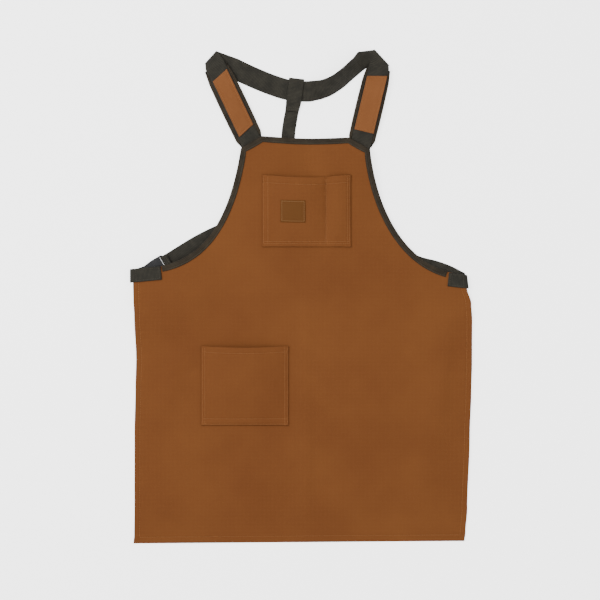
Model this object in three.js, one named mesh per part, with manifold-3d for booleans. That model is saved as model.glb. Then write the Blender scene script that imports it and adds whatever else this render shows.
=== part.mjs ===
// Carpenter's nail apron, laid flat with its front up: millimetres, +Z up, +Y towards the bib, the floor at z = 0.
import * as THREE from "three";
import { mergeVertices } from "three/addons/utils/BufferGeometryUtils.js";
import Module from "manifold-3d";

const wasm = await Module();
wasm.setup();

// Driving dimensions.
const clearance = 0.3; // between pieces that touch
const bindingClearance = 0.46; // the binding follows the panel's curves less closely
const canvasThickness = 1.2;
const webbingThickness = 1.8;
const tapeThickness = 0.8; // edge binding and pad tapes

const panelWidth = 626;
const waistHeight = 515; // hem to the corner under the left armhole
const rightWaistDrop = 11; // the right corner lies lower
const bibHeight = 763; // hem to the top of the bib
const bibTopWidth = 164;
const bibOffset = 9.4; // the bib lies this far right of the panel's middle
const bibCornerCut = { across: 38, down: 22 };
const bibTopDip = 3;
const bibSkew = 2.5; // the bib's right end lies lower
const hemSkew = 4.7; // the hem's right end lies higher
const hemNarrowing = 5.5; // and further in
const rightWaistInset = 4; // the right waist corner lies this far in
const sideHem = 10;
const bottomHem = 12;
const bindingWidth = 11;

const harnessWidth = 38;
const strapWidth = 25;
const padWidth = 52;
const padThickness = 3.5;
const padEdgeThickness = 2.5;
const padTapeWidth = 6.2;
const insertThickness = canvasThickness;

const toolPocket = { width: 163, height: 148, fromSide: 127, fromHem: 222, mouthDip: 3, bulge: 13 };
const bibPocket = { width: 165, height: 134, fromBibMiddle: 80.4, fromBibTop: 72, mouthDip: 5, bulge: 9 };
toolPocket.left = -panelWidth / 2 + toolPocket.fromSide;
toolPocket.top = toolPocket.fromHem + toolPocket.height;
bibPocket.left = bibOffset - bibPocket.fromBibMiddle;
bibPocket.top = bibHeight - bibPocket.fromBibTop;
const penSeamShare = 0.72; // of the bib pocket's width, from its left
const penBulgeShare = 0.9; // of the bib pocket's bulge
const label = { width: 46, height: 42, thickness: 1.2, fromLeft: 34, fromTop: 45 };

const buckle = { length: 56, width: 31, thickness: 9, wall: 2, bar: 3, slot: 6, heading: 30 };
const buckleInset = 36; // its middle, in from the panel's left corner
const buckleDrop = 0.5; // and below it
const buckleAt = new THREE.Vector2(-panelWidth / 2 + buckleInset, waistHeight - buckleDrop);

// Side edges of the panel: shares of the waist height, and of the panel's width outwards.
const sideBow = [
  { up: 0.03, left: -0.002, right: 0.003 },
  { up: 0.12, left: -0.003, right: 0.008 },
  { up: 0.4, left: -0.003, right: 0.015 },
  { up: 0.56, left: -0.006, right: 0.019 },
  { up: 0.67, left: -0.008, right: 0.021 },
  { up: 0.83, left: -0.003, right: 0.021 },
  { up: 0.89, left: -0.001, right: 0.018 },
  { up: 0.95, left: 0, right: 0.005 },
];
// Handles of the armhole curves, as shares of the way from the waist corner to the bib corner.
const armholeHandles = {
  left: [{ across: 0.4, up: 0 }, { across: 0.843, up: 0.099 }],
  right: [{ across: 0.675, up: 0.026 }, { across: 0.949, up: 0.604 }],
};
// Soft ridges in the lying canvas: place and size as shares of the panel's width and the bib's height.
const foldHeight = 5;
const folds = [
  { x: 0.01, y: 0.15, heading: 90, length: 0.17, spread: 0.055, rise: 0.6 },
  { x: -0.08, y: 0.165, heading: 0, length: 0.1, spread: 0.03, rise: 0.4 },
  { x: -0.33, y: 0.07, heading: -35, length: 0.09, spread: 0.035, rise: 0.8 },
  { x: -0.15, y: 0.08, heading: -50, length: 0.08, spread: 0.035, rise: 0.6 },
  { x: 0.2, y: 0.13, heading: 25, length: 0.12, spread: 0.06, rise: 0.7 },
  { x: 0.4, y: 0.3, heading: 80, length: 0.14, spread: 0.04, rise: 0.8 },
  { x: -0.38, y: 0.4, heading: 70, length: 0.1, spread: 0.04, rise: 0.5 },
];
// The yoke between its two creases: shares of the span, and how far its upper edge is turned up.
const yokeRoute = [
  { along: 0.09, drop: 0.038, roll: 0 },
  { along: 0.16, drop: 0.074, roll: 0 },
  { along: 0.26, drop: 0.12, roll: 0 },
  { along: 0.36, drop: 0.16, roll: 0 },
  { along: 0.45, drop: 0.188, roll: 0 },
  { along: 0.56, drop: 0.198, roll: 0 },
  { along: 0.62, drop: 0.193, roll: 24 },
  { along: 0.67, drop: 0.182, roll: 34 },
  { along: 0.74, drop: 0.146, roll: 42 },
  { along: 0.8, drop: 0.098, roll: 46 },
  { along: 0.86, drop: 0.045, roll: 44 },
  { along: 0.91, drop: 0.004, roll: 28 },
];
// The waist strap from the buckle to the right side: shares of the span.
const waistRoute = [
  { along: 0.14, rise: 0.092 },
  { along: 0.3, rise: 0.163 },
  { along: 0.43, rise: 0.175 },
  { along: 0.58, rise: 0.152 },
  { along: 0.72, rise: 0.1 },
  { along: 0.84, rise: 0.052 },
  { along: 0.9, rise: 0.04 },
  { along: 0.945, rise: 0.026 },
];

const pads = {
  left: {
    length: 157, heading: 115.5, footShare: 0.5, neck: 20, creaseHeading: 48, gather: 0.8,
    insert: { foot: 0.159, head: 0.885, width: 33, shift: 0.5, footSlant: 17, headSlant: 17 },
  },
  right: {
    length: 147, heading: 76.6, footShare: 0.44, neck: 21, creaseHeading: 133, gather: 0.9,
    insert: { foot: 0.177, head: 0.898, width: 36, shift: 0.5, footSlant: 0, headSlant: 13 },
  },
};
const padTaper = [
  { along: 0, width: 0.84 },
  { along: 0.1, width: 0.98 },
  { along: 0.3, width: 1 },
  { along: 0.55, width: 1 },
  { along: 0.8, width: 0.98 },
  { along: 1, width: 0.88 },
];
const webbingUnderBib = 26;
const tabOverlap = { left: 52, right: 33 }; // a tab's length on the front of the panel
const tabSlack = { left: 3, right: 0.5 }; // and how far its fold stands off the panel's side
const tabHeading = { left: 5.5, right: -6.5 };
const loopTail = 18; // a loop's end, sewn down past the strap that it holds
const loopRamp = 8;
const loopRoom = 1.5; // slack between a loop and the strap's edge
const barTail = 9; // strap past a buckle's bar
const drapeReach = 150; // canvas comes down to the floor over this length
const stiffness = 28; // and stays level for this length over what holds it up

// Heights worked out from what lies under what.
const layer = (thickness) => thickness + clearance;
const yokeHeight = webbingThickness / 2;
const padFootHeight = layer(tapeThickness);
const padHeadHeight = layer(webbingThickness) + layer(tapeThickness);
const padStack = padFootHeight + layer(padThickness) + layer(webbingThickness) + layer(tapeThickness);
const crossingStack = layer(webbingThickness) + layer(tapeThickness);
const loopStack = 3 * layer(webbingThickness);
const buckleStack = layer(buckle.thickness) + layer(tapeThickness);

const vec = (x, y, z = 0) => new THREE.Vector3(x, y, z);
const turned = (degrees) => {
  const angle = THREE.MathUtils.degToRad(degrees);
  return vec(Math.cos(angle), Math.sin(angle));
};
const up = vec(0, 0, 1);
const mix = THREE.MathUtils.lerp;
const smooth = THREE.MathUtils.smoothstep;

// A closed solid between two grids of points, each a list of rows of equal length.
function solidBetween(upper, lower) {
  const rows = upper.length;
  const columns = upper[0].length;
  const positions = [...upper.flat(), ...lower.flat()].flatMap((p) => [p.x, p.y, p.z]);
  const top = (r, c) => r * columns + c;
  const bottom = (r, c) => (rows + r) * columns + c;
  const faces = [];
  const quad = (a, b, c, d) => faces.push(a, b, c, a, c, d);
  for (let r = 0; r < rows - 1; r++) {
    for (let c = 0; c < columns - 1; c++) {
      quad(top(r, c), top(r, c + 1), top(r + 1, c + 1), top(r + 1, c));
      quad(bottom(r, c), bottom(r + 1, c), bottom(r + 1, c + 1), bottom(r, c + 1));
    }
    quad(top(r, 0), top(r + 1, 0), bottom(r + 1, 0), bottom(r, 0));
    quad(top(r + 1, columns - 1), top(r, columns - 1), bottom(r, columns - 1), bottom(r + 1, columns - 1));
  }
  for (let c = 0; c < columns - 1; c++) {
    quad(top(0, c + 1), top(0, c), bottom(0, c), bottom(0, c + 1));
    quad(top(rows - 1, c), top(rows - 1, c + 1), bottom(rows - 1, c + 1), bottom(rows - 1, c));
  }
  const geometry = new THREE.BufferGeometry();
  geometry.setAttribute("position", new THREE.Float32BufferAttribute(positions, 3));
  geometry.setIndex(signedVolume(positions, faces) < 0 ? faces.reverse() : faces);
  geometry.computeVertexNormals();
  return geometry;
}

function signedVolume(positions, faces) {
  const corner = (i) => vec(positions[3 * i], positions[3 * i + 1], positions[3 * i + 2]);
  let sum = 0;
  for (let f = 0; f < faces.length; f += 3) {
    sum += corner(faces[f]).dot(corner(faces[f + 1]).cross(corner(faces[f + 2])));
  }
  return sum / 6;
}

// Unit normals of a grid of points, from the neighbours of each.
function gridNormals(grid) {
  return grid.map((row, r) => row.map((_, c) => {
    const before = grid[Math.max(r - 1, 0)][c];
    const after = grid[Math.min(r + 1, grid.length - 1)][c];
    const left = row[Math.max(c - 1, 0)];
    const right = row[Math.min(c + 1, row.length - 1)];
    return after.clone().sub(before).cross(right.clone().sub(left)).normalize();
  }));
}

// A band of even thickness about a grid of middle points.
function band(grid, thickness) {
  const normals = gridNormals(grid);
  const shifted = (share) => grid.map((row, r) => row.map((p, c) =>
    p.clone().addScaledVector(normals[r][c], share * thickness)));
  return solidBetween(shifted(0.5), shifted(-0.5));
}

// Corners of the panel.
const corners = {
  hemLeft: vec(-panelWidth / 2, 0),
  hemRight: vec(panelWidth / 2 - hemNarrowing, hemSkew),
  waistLeft: vec(-panelWidth / 2, waistHeight),
  waistRight: vec(panelWidth / 2 - rightWaistInset, waistHeight - rightWaistDrop),
  bibLeft: vec(bibOffset - bibTopWidth / 2, bibHeight),
  bibRight: vec(bibOffset + bibTopWidth / 2, bibHeight - bibSkew),
};
corners.cutLeft = corners.bibLeft.clone().add(vec(-bibCornerCut.across, -bibCornerCut.down));
corners.cutRight = corners.bibRight.clone().add(vec(bibCornerCut.across, -bibCornerCut.down));

const sideSteps = 16;
const armholeSteps = 22;
const cutSteps = 3;

// One side of the outline from the hem to the bib's top: side, armhole, corner cut.
function outlineOf(side, hem, waist, cut, bib) {
  const points = [hem.clone()];
  const outwards = side === "left" ? -1 : 1;
  const bows = [{ up: 0, [side]: 0 }, ...sideBow, { up: 1, [side]: 0 }];
  for (let i = 0; i <= sideSteps; i++) {
    const share = mix(bottomHem / waistHeight, 1, i / sideSteps);
    const next = Math.max(bows.findIndex((row) => row.up >= share - 1e-6), 1);
    const [a, b] = [bows[next - 1], bows[next]];
    const bow = mix(a[side], b[side], smooth(share, a.up, b.up)) * panelWidth;
    points.push(hem.clone().lerp(waist, share).add(vec(outwards * bow, 0)));
  }
  const handles = armholeHandles[side].map(({ across, up: rise }) =>
    vec(mix(waist.x, cut.x, across), mix(waist.y, cut.y, rise)));
  const armhole = new THREE.CubicBezierCurve3(waist, ...handles, cut);
  points.push(...armhole.getSpacedPoints(armholeSteps).slice(1));
  for (let i = 1; i <= cutSteps; i++) {
    points.push(cut.clone().lerp(bib, i / cutSteps));
  }
  return points;
}
const leftOutline = outlineOf("left", corners.hemLeft, corners.waistLeft, corners.cutLeft, corners.bibLeft);
const rightOutline = outlineOf("right", corners.hemRight, corners.waistRight, corners.cutRight, corners.bibRight);
const waistRow = 1 + sideSteps;
const cutRow = waistRow + armholeSteps;

// Pads lie from the middle of each cut corner along their heading.
const padFrames = {
  left: padFrame(pads.left, corners.cutLeft, corners.bibLeft),
  right: padFrame(pads.right, corners.cutRight, corners.bibRight),
};
function padFrame(pad, cut, bib) {
  const foot = cut.clone().lerp(bib, pad.footShare);
  const along = turned(pad.heading);
  const across = turned(pad.heading - 90);
  const place = (a, b, z = 0) => foot.clone().addScaledVector(along, a).addScaledVector(across, b).setZ(z);
  return { foot, along, across, place, crease: place(pad.length + pad.neck, 0) };
}

// The centre strap runs straight from the yoke to the waist strap.
const yokeSpan = padFrames.right.crease.clone().sub(padFrames.left.crease);
const buckleAxis = turned(buckle.heading);
const barReach = (buckle.length - buckle.bar) / 2;
const plugBar = vec(buckleAt.x, buckleAt.y).addScaledVector(buckleAxis, barReach);
const socketBar = vec(buckleAt.x, buckleAt.y).addScaledVector(buckleAxis, -barReach);

// Both long straps follow a table between two ends, smoothed by a spline.
function routePoints(start, end, rows, offset, steps) {
  const span = end.clone().sub(start);
  const length = span.length();
  const places = rows.map((row) =>
    start.clone().addScaledVector(span, row.along).add(vec(0, offset(row) * length)));
  const spline = new THREE.CatmullRomCurve3([start, ...places, end], false, "centripetal");
  return { length, points: spline.getPoints(steps), at: (share) => spline.getPointAt(share), spline };
}
const outlineAt = (outline, y) => {
  const i = outline.findIndex((p) => p.y >= y);
  const [a, b] = [outline[i - 1], outline[i]];
  return a.clone().lerp(b, (y - a.y) / (b.y - a.y));
};
const rightTabEdge = outlineAt(rightOutline, corners.waistRight.y - strapWidth / 2);
const leftTabEdge = outlineAt(leftOutline, corners.waistLeft.y - strapWidth / 2);
const waistRoutePoints = routePoints(plugBar, rightTabEdge, waistRoute, (row) => row.rise, 36);
const yokePoints = routePoints(
  padFrames.left.crease, padFrames.right.crease, yokeRoute, (row) => -row.drop, 40);

// Where the centre strap crosses the two long straps, its share of the way along each.
const centreOnYoke = 0.495;
const centreOnWaist = 0.385;
const yokeCrossing = nearestTo(yokePoints.points, padFrames.left.crease, yokeSpan, centreOnYoke);
const waistSpan = rightTabEdge.clone().sub(plugBar);
const waistCrossing = nearestTo(waistRoutePoints.points, plugBar, waistSpan, centreOnWaist);
function nearestTo(points, start, span, share) {
  const target = start.x + span.x * share;
  const i = points.findIndex((p) => p.x >= target);
  const t = (target - points[i - 1].x) / (points[i].x - points[i - 1].x);
  return points[i - 1].clone().lerp(points[i], t);
}

// What lies under the panel and how high it holds the panel's underside.
const waistSupports = [0.08, 0.16, 0.24, 0.32, 0.5, 0.6, 0.7, 0.8, 0.9]; // shares of the strap's length
const bibCrossing = corners.bibLeft.clone().lerp(corners.bibRight, 0.32);
const supports = [
  { at: padFrames.left.foot, height: padStack, core: stiffness, reach: drapeReach },
  { at: padFrames.right.foot, height: padStack, core: stiffness, reach: drapeReach },
  { at: bibCrossing, height: crossingStack, core: stiffness, reach: drapeReach * 0.75 },
  { at: waistCrossing, height: loopStack, core: stiffness * 1.2, reach: drapeReach },
  { at: vec(buckleAt.x, buckleAt.y), height: buckleStack, core: stiffness * 1.5, reach: drapeReach * 1.1 },
  { at: rightTabEdge, height: crossingStack, core: stiffness, reach: drapeReach * 0.8 },
  ...waistSupports.map((share) => (
    { at: waistRoutePoints.at(share), height: crossingStack, core: stiffness * 0.75, reach: drapeReach * 0.7 })),
];
const blendPower = 5;
const restingFade = 0.6 * drapeReach; // folds and supports fade out over this length above the hem

function restHeight(x, y) {
  const held = supports.reduce((sum, { at, height, core, reach }) => {
    const share = THREE.MathUtils.clamp((Math.hypot(x - at.x, y - at.y) - core) / (reach - core), 0, 1);
    return sum + (height * (1 + Math.cos(Math.PI * share)) / 2) ** blendPower;
  }, 0) ** (1 / blendPower);
  const folded = folds.reduce((sum, fold) => {
    const along = turned(fold.heading);
    const away = vec(x - fold.x * panelWidth, y - fold.y * bibHeight);
    const far = away.dot(along) / (fold.length * bibHeight);
    const wide = away.clone().cross(along).z / (fold.spread * panelWidth);
    return sum + fold.rise * foldHeight * Math.exp(-far * far - wide * wide);
  }, 0);
  return canvasThickness + (held + folded) * smooth(y, bottomHem + hemSkew, bottomHem + restingFade);
}
const topHeight = (x, y) => restHeight(x, y) + canvasThickness;
const onPanel = (x, y, z = 0) => vec(x, y, topHeight(x, y) + z);

// The panel: rows run from outline to outline, columns follow the side hems.
const panelColumns = 30;
function panelGrid() {
  const hemShare = sideHem / panelWidth;
  const shares = [0, ...Array.from({ length: panelColumns - 1 }, (_, i) =>
    mix(hemShare, 1 - hemShare, i / (panelColumns - 2))), 1];
  return leftOutline.map((left, r) => shares.map((share) => {
    const p = left.clone().lerp(rightOutline[r], share);
    const nearTop = THREE.MathUtils.clamp((r - cutRow) / cutSteps, 0, 1);
    p.y -= bibTopDip * Math.sin(Math.PI * share) * nearTop;
    return onPanel(p.x, p.y);
  }));
}
function canvasPanel() {
  const upper = panelGrid();
  const isHem = (r, c, row) => r < 2 || (r <= waistRow && (c < 2 || c > row.length - 3));
  const lower = upper.map((row, r) => row.map((p, c) =>
    vec(p.x, p.y, p.z - canvasThickness * (isHem(r, c, row) ? 2 : 1))));
  return solidBetween(upper, lower);
}

// The binding's path: up the left armhole from the tab's end, over the bib, down the right one.
function armholeBeyondTab(side) {
  const outline = side === "left" ? leftOutline : rightOutline;
  const reach = tabOverlap[side] + 2 * clearance;
  const fromCorner = (p) => Math.abs(p.x - outline[waistRow].x);
  const i = outline.findIndex((p, row) => row > waistRow && fromCorner(p) > reach);
  const share = (reach - fromCorner(outline[i - 1])) / (fromCorner(outline[i]) - fromCorner(outline[i - 1]));
  return [outline[i - 1].clone().lerp(outline[i], share), ...outline.slice(share > 0.7 ? i + 1 : i)];
}
function bindingPath() {
  const topEdge = panelGrid().at(-1).filter((_, c) => c % 2 === 1).slice(0, -1);
  return [...armholeBeyondTab("left"), ...topEdge, ...armholeBeyondTab("right").reverse()];
}
function edgeBinding() {
  const path = bindingPath();
  const section = path.map((p, i) => {
    const before = path[Math.max(i - 1, 0)];
    const after = path[Math.min(i + 1, path.length - 1)];
    const direction = after.clone().sub(before).setZ(0).normalize();
    const inward = direction.clone().cross(up);
    return uSection(vec(p.x, p.y), inward, (q) => topHeight(q.x, q.y), canvasThickness, bindingWidth,
      bindingClearance);
  });
  return solidBetween(section.map((s) => s.outer), section.map((s) => s.inner));
}
// A tape folded round an edge: its outer and inner line, from the front leg's end to the back leg's.
function uSection(edge, inward, heightAt, edgeThickness, width, room) {
  const walls = [[room + tapeThickness, "outer"], [room, "inner"]];
  return Object.fromEntries(walls.map(([off, name]) => {
    const reaches = [
      [width, 1], [width / 2, 1], [0, 1], [-off, 0.45], [-off, -0.45], [0, -1], [width / 2, -1], [width, -1],
    ];
    return [name, reaches.map(([reach, side]) => {
      const p = edge.clone().addScaledVector(inward, reach);
      const middle = heightAt(edge.clone().addScaledVector(inward, Math.max(reach, 0))) - edgeThickness / 2;
      return p.setZ(middle + side * (edgeThickness / 2 + off));
    })];
  }));
}

// A pocket front: sewn down at its sides and foot, standing off the panel at its mouth.
function pocketSurface(pocket, bulgeAt) {
  return (across, down) => {
    const dip = pocket.mouthDip * Math.sin(Math.PI * across) * (1 - down);
    const x = pocket.left + pocket.width * across;
    const y = pocket.top - dip - pocket.height * down;
    const stand = pocket.bulge * bulgeAt(across) * Math.cos(Math.PI / 2 * down) ** 0.7;
    return onPanel(x, y, clearance + stand);
  };
}
const chamber = (share) => Math.sin(Math.PI * THREE.MathUtils.clamp(share, 0, 1)) ** 0.8;
const toolSurface = pocketSurface(toolPocket, chamber);
const bibSurface = pocketSurface(bibPocket, (across) => (across < penSeamShare
  ? chamber(across / penSeamShare)
  : penBulgeShare * chamber((across - penSeamShare) / (1 - penSeamShare))));

function pocketFront(surface, seams, rows) {
  const downs = Array.from({ length: rows + 1 }, (_, i) => i / rows);
  const lower = downs.map((down) => seams.map((across) => surface(across, down)));
  return solidBetween(lower.map((row) => row.map((p) => vec(p.x, p.y, p.z + canvasThickness))), lower);
}
const evenShares = (from, to, steps) => Array.from({ length: steps }, (_, i) => mix(from, to, i / steps));

function labelPatch() {
  const at = (thickness) => (i, j) => {
    const across = (label.fromLeft + label.width * i) / bibPocket.width;
    const down = (label.fromTop + label.height * j) / bibPocket.height;
    const p = bibSurface(across, down);
    return vec(p.x, p.y, p.z + canvasThickness + clearance + thickness);
  };
  const shares = [...evenShares(0, 1, 5), 1];
  const layerOf = (thickness) => shares.map((j) => shares.map((i) => at(thickness)(i, j)));
  return solidBetween(layerOf(label.thickness), layerOf(0));
}

// Pads and what is sewn on them. a runs from foot to head, b across, both in millimetres.
const padWidthAt = (share) => {
  const next = Math.max(padTaper.findIndex((row) => row.along >= share - 1e-6), 1);
  const [low, high] = [padTaper[next - 1], padTaper[next]];
  return padWidth * mix(low.width, high.width, smooth(share, low.along, high.along));
};
const padBase = (share) => mix(padFootHeight, padHeadHeight, smooth(share, 0.1, 0.8));
const padTop = (share) => padBase(share) + padThickness;
const padShares = [0, 0.05, 0.1, 0.2, 0.3, 0.45, 0.6, 0.7, 0.8, 0.9, 0.96, 1];
const tapeReach = layer(tapeThickness);

function padCore(pad, frame) {
  const flat = harnessWidth / 2 + 0.2;
  const grids = [1, -1].map((side) => padShares.map((share) => {
    const half = padWidthAt(share) / 2 - tapeReach;
    const inner = Math.min(flat, half - 1);
    return [-half, -inner, 0, inner, half].map((b, i) => {
      const edge = i === 0 || i === 4;
      const middle = padBase(share) + padThickness / 2;
      return frame.place(share * pad.length, b, middle + side * (edge ? padEdgeThickness : padThickness) / 2);
    });
  }));
  return solidBetween(grids[0], grids[1]);
}
function padTape(pad, frame, side) {
  const shares = padShares.slice(1, -1);
  const sections = shares.map((share) => {
    const edge = frame.place(share * pad.length, side * (padWidthAt(share) / 2 - tapeReach));
    const height = padBase(share) + (padThickness + padEdgeThickness) / 2;
    const outward = padThickness - padEdgeThickness;
    const inward = frame.across.clone().multiplyScalar(-side);
    const room = padWidthAt(share) / 2 - tapeReach - harnessWidth / 2 - clearance;
    return uSection(edge, inward, () => height + outward / 2, padThickness, Math.min(padTapeWidth, room), clearance);
  });
  return solidBetween(sections.map((s) => s.outer), sections.map((s) => s.inner));
}
function padInsert(pad, frame) {
  const { foot, head, width, shift, footSlant, headSlant } = pad.insert;
  const slope = (degrees) => Math.tan(THREE.MathUtils.degToRad(degrees));
  const grid = [...evenShares(0, 1, 7), 1].map((i) => [-1, -0.33, 0.33, 1].map((j) => {
    const b = j * width / 2;
    const a = mix(foot * pad.length + b * slope(footSlant), head * pad.length + b * slope(headSlant), i);
    const z = padTop(a / pad.length) + clearance + layer(webbingThickness);
    return frame.place(a, b + shift, z);
  }));
  return solidBetween(grid.map((row) => row.map((p) => p.clone().setZ(p.z + insertThickness))), grid);
}

// Webbing: rows of two edge points. A fold turns over about a crease, upwards or downwards.
const across = (centre, heading, width) => [
  centre.clone().addScaledVector(turned(heading + 90), width / 2),
  centre.clone().addScaledVector(turned(heading + 90), -width / 2),
];
function foldRows(start, creaseHeading, outwardHeading, length, drop) {
  const radius = drop / 2;
  return Array.from({ length: 7 }, (_, i) => {
    const angle = Math.PI * i / 6;
    const centre = start.clone()
      .addScaledVector(turned(outwardHeading), Math.abs(radius) * Math.sin(angle))
      .add(vec(0, 0, radius * (Math.cos(angle) - 1)));
    const half = turned(creaseHeading).multiplyScalar(length / 2);
    return [centre.clone().add(half), centre.clone().sub(half)];
  });
}
const creaseLength = (heading, creaseHeading, width) =>
  width / Math.abs(Math.sin(THREE.MathUtils.degToRad(heading - creaseHeading)));

// One half of the harness from under the bib over a pad to its crease, ending on the lower layer.
function shoulderRows(pad, frame) {
  const run = [-webbingUnderBib, 0, ...padShares.slice(2, -1).map((share) => share * pad.length), pad.length + 2];
  const rows = run.map((a) => {
    const share = THREE.MathUtils.clamp(a / pad.length, 0, 1);
    return across(frame.place(a, 0, padTop(share) + layer(webbingThickness) - webbingThickness / 2),
      pad.heading, harnessWidth);
  });
  const upperLayer = yokeHeight + layer(webbingThickness);
  const length = pad.gather * creaseLength(pad.heading, pad.creaseHeading, harnessWidth);
  const side = Math.sign(Math.sin(THREE.MathUtils.degToRad(pad.creaseHeading - pad.heading)));
  const crease = pad.creaseHeading + (side > 0 ? 180 : 0);
  const fold = foldRows(frame.crease.clone().setZ(upperLayer), crease + 180,
    pad.creaseHeading + (side > 0 ? -90 : 90), length, layer(webbingThickness));
  return { rows, fold };
}
function harnessWebbing() {
  const left = shoulderRows(pads.left, padFrames.left);
  const right = shoulderRows(pads.right, padFrames.right);
  const start = padFrames.left.crease;
  const points = yokePoints.points;
  const rolls = [{ along: 0, roll: 0 }, ...yokeRoute, { along: 1, roll: 0 }];
  const yoke = points.slice(5, -4).map((p, i) => {
    const share = (p.x - start.x) / yokeSpan.x;
    const next = Math.max(rolls.findIndex((row) => row.along >= share), 1);
    const [a, b] = [rolls[next - 1], rolls[next]];
    const roll = THREE.MathUtils.degToRad(mix(a.roll, b.roll, smooth(share, a.along, b.along)));
    const direction = points[i + 6].clone().sub(points[i + 4]).normalize();
    const side = up.clone().cross(direction);
    const half = side.multiplyScalar(Math.cos(roll)).addScaledVector(up, Math.sin(roll))
      .multiplyScalar(harnessWidth / 2);
    const raised = smooth(Math.abs(share - centreOnYoke), 0.05, 0.15);
    const height = mix(yokeHeight + layer(webbingThickness), yokeHeight, raised)
      + Math.sin(roll) * harnessWidth / 2;
    const centre = vec(p.x, p.y, height);
    return [centre.clone().add(half), centre.clone().sub(half)];
  });
  const leftTurned = [...left.rows, ...left.fold].map(([outer, inner]) => [inner, outer]);
  const rows = [...leftTurned, ...yoke, ...right.fold.reverse(), ...right.rows.reverse()];
  return band(rows, webbingThickness);
}

// The centre strap is looped round the yoke and round the waist strap, its ends lying on its own top.
function centreStrap() {
  const direction = waistCrossing.clone().sub(yokeCrossing).setZ(0);
  const length = direction.length();
  const heading = THREE.MathUtils.radToDeg(Math.atan2(direction.y, direction.x));
  const along = turned(heading);
  const low = webbingThickness / 2;
  const middle = low + layer(webbingThickness);
  const high = middle + layer(webbingThickness);
  const bend = (high - low) / 2;
  const loopEnd = (halfWidth) => {
    const edge = halfWidth + clearance + loopRoom;
    const turn = Array.from({ length: 9 }, (_, i) => {
      const angle = Math.PI * i / 8;
      return [-edge - bend * Math.sin(angle), middle + bend * Math.cos(angle)];
    });
    const sewn = [[edge + loopTail, middle], [edge + loopRamp, middle], [edge, high], [0, high]];
    return [...sewn, ...turn, [0, low], [edge, low]];
  };
  const top = loopEnd(harnessWidth / 2);
  const foot = loopEnd(strapWidth / 2 + 1).map(([a, z]) => [length - a, z]).reverse();
  const rows = [...top, ...foot].map(([a, z]) =>
    across(yokeCrossing.clone().addScaledVector(along, a).setZ(z), heading, strapWidth));
  return band(rows, webbingThickness);
}

// A tab: sewn on the front, folded over the panel's side to its back.
function tabRows(edge, side, heading) {
  const inward = turned(side === "left" ? heading : 180 + heading);
  const sideways = turned(heading + 90);
  const half = webbingThickness / 2;
  const rows = [1, 0.66, 0.33, 0].map((share) => [1, -1].map((hand) => {
    const p = edge.clone().addScaledVector(inward, share * tabOverlap[side]).addScaledVector(sideways, hand * strapWidth / 2);
    return onPanel(p.x, p.y, clearance + half);
  }));
  const radius = canvasThickness + clearance + half;
  const turn = Array.from({ length: 7 }, (_, i) => Math.PI * i / 6).map((angle) => [1, -1].map((hand) => {
    const p = outlineAt(side === "left" ? leftOutline : rightOutline, edge.y + hand * sideways.y * strapWidth / 2);
    const axis = topHeight(p.x, p.y) - canvasThickness;
    return p.addScaledVector(inward, -(radius + tabSlack[side]) * Math.sin(angle) - clearance)
      .setZ(axis + radius * Math.cos(angle));
  }));
  return [...rows.slice(0, 3), ...turn];
}
// The end of a strap round a buckle's bar, from its tail to where it leaves.
function barLoop(bar, heading, tailUp) {
  const radius = buckle.bar * Math.SQRT1_2 + layer(webbingThickness / 2);
  const middle = buckle.thickness / 2;
  const away = turned(heading);
  const sign = tailUp ? 1 : -1;
  const turn = Array.from({ length: 9 }, (_, i) => Math.PI * i / 8).map((angle) =>
    [-radius * Math.sin(angle), middle + sign * radius * Math.cos(angle)]);
  return [[barTail, middle + sign * radius], ...turn].map(([a, z]) =>
    across(bar.clone().addScaledVector(away, a).setZ(z), heading, strapWidth));
}
function leftTab() {
  const edge = leftTabEdge;
  const tab = tabRows(edge, "left", tabHeading.left);
  const loop = barLoop(socketBar, buckle.heading + 180, false).reverse()
    .map(([a, b]) => [b, a]);
  return band([...tab, ...loop], webbingThickness);
}
function waistStrap() {
  const loop = barLoop(plugBar, buckle.heading, true);
  const points = waistRoutePoints.points;
  const low = webbingThickness / 2;
  const run = points.slice(2, -1).map((p, i) => {
    const direction = points[i + 3].clone().sub(points[i + 1]);
    const heading = THREE.MathUtils.radToDeg(Math.atan2(direction.y, direction.x));
    const near = 1 - smooth(p.distanceTo(waistCrossing), 0.7 * strapWidth, 1.8 * strapWidth);
    const ends = restHeight(p.x, p.y) - canvasThickness - clearance - low;
    const atEdge = 1 - smooth(rightTabEdge.x - p.x, 0.5 * strapWidth, 2.4 * strapWidth);
    const z = mix(low + near * layer(webbingThickness), Math.max(ends, low), atEdge);
    return across(vec(p.x, p.y, z), heading, strapWidth);
  });
  const tab = tabRows(rightTabEdge, "right", tabHeading.right).reverse();
  return band([...loop, ...run, ...tab], webbingThickness);
}

// Joins and cuts for the buckle.
function manifoldOf(geometry) {
  const bare = geometry.clone();
  bare.deleteAttribute("normal");
  bare.deleteAttribute("uv");
  const merged = mergeVertices(bare);
  return new wasm.Manifold(new wasm.Mesh({
    numProp: 3, vertProperties: merged.attributes.position.array, triVerts: new Uint32Array(merged.index.array),
  }));
}
function geometryOf(solid) {
  const { vertProperties, triVerts } = solid.getMesh();
  const geometry = new THREE.BufferGeometry();
  geometry.setAttribute("position", new THREE.BufferAttribute(vertProperties, 3));
  geometry.setIndex(new THREE.BufferAttribute(triVerts, 1));
  geometry.computeVertexNormals();
  return geometry;
}
const block = (x0, x1, width, z0, z1, y = 0) =>
  new THREE.BoxGeometry(x1 - x0, width, z1 - z0).translate((x0 + x1) / 2, y, (z0 + z1) / 2);

function plate(outline, thickness) {
  const shape = new THREE.Shape(outline.map(([x, y]) => new THREE.Vector2(x, y)));
  return new THREE.ExtrudeGeometry(shape, { depth: thickness, bevelEnabled: false });
}
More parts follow.
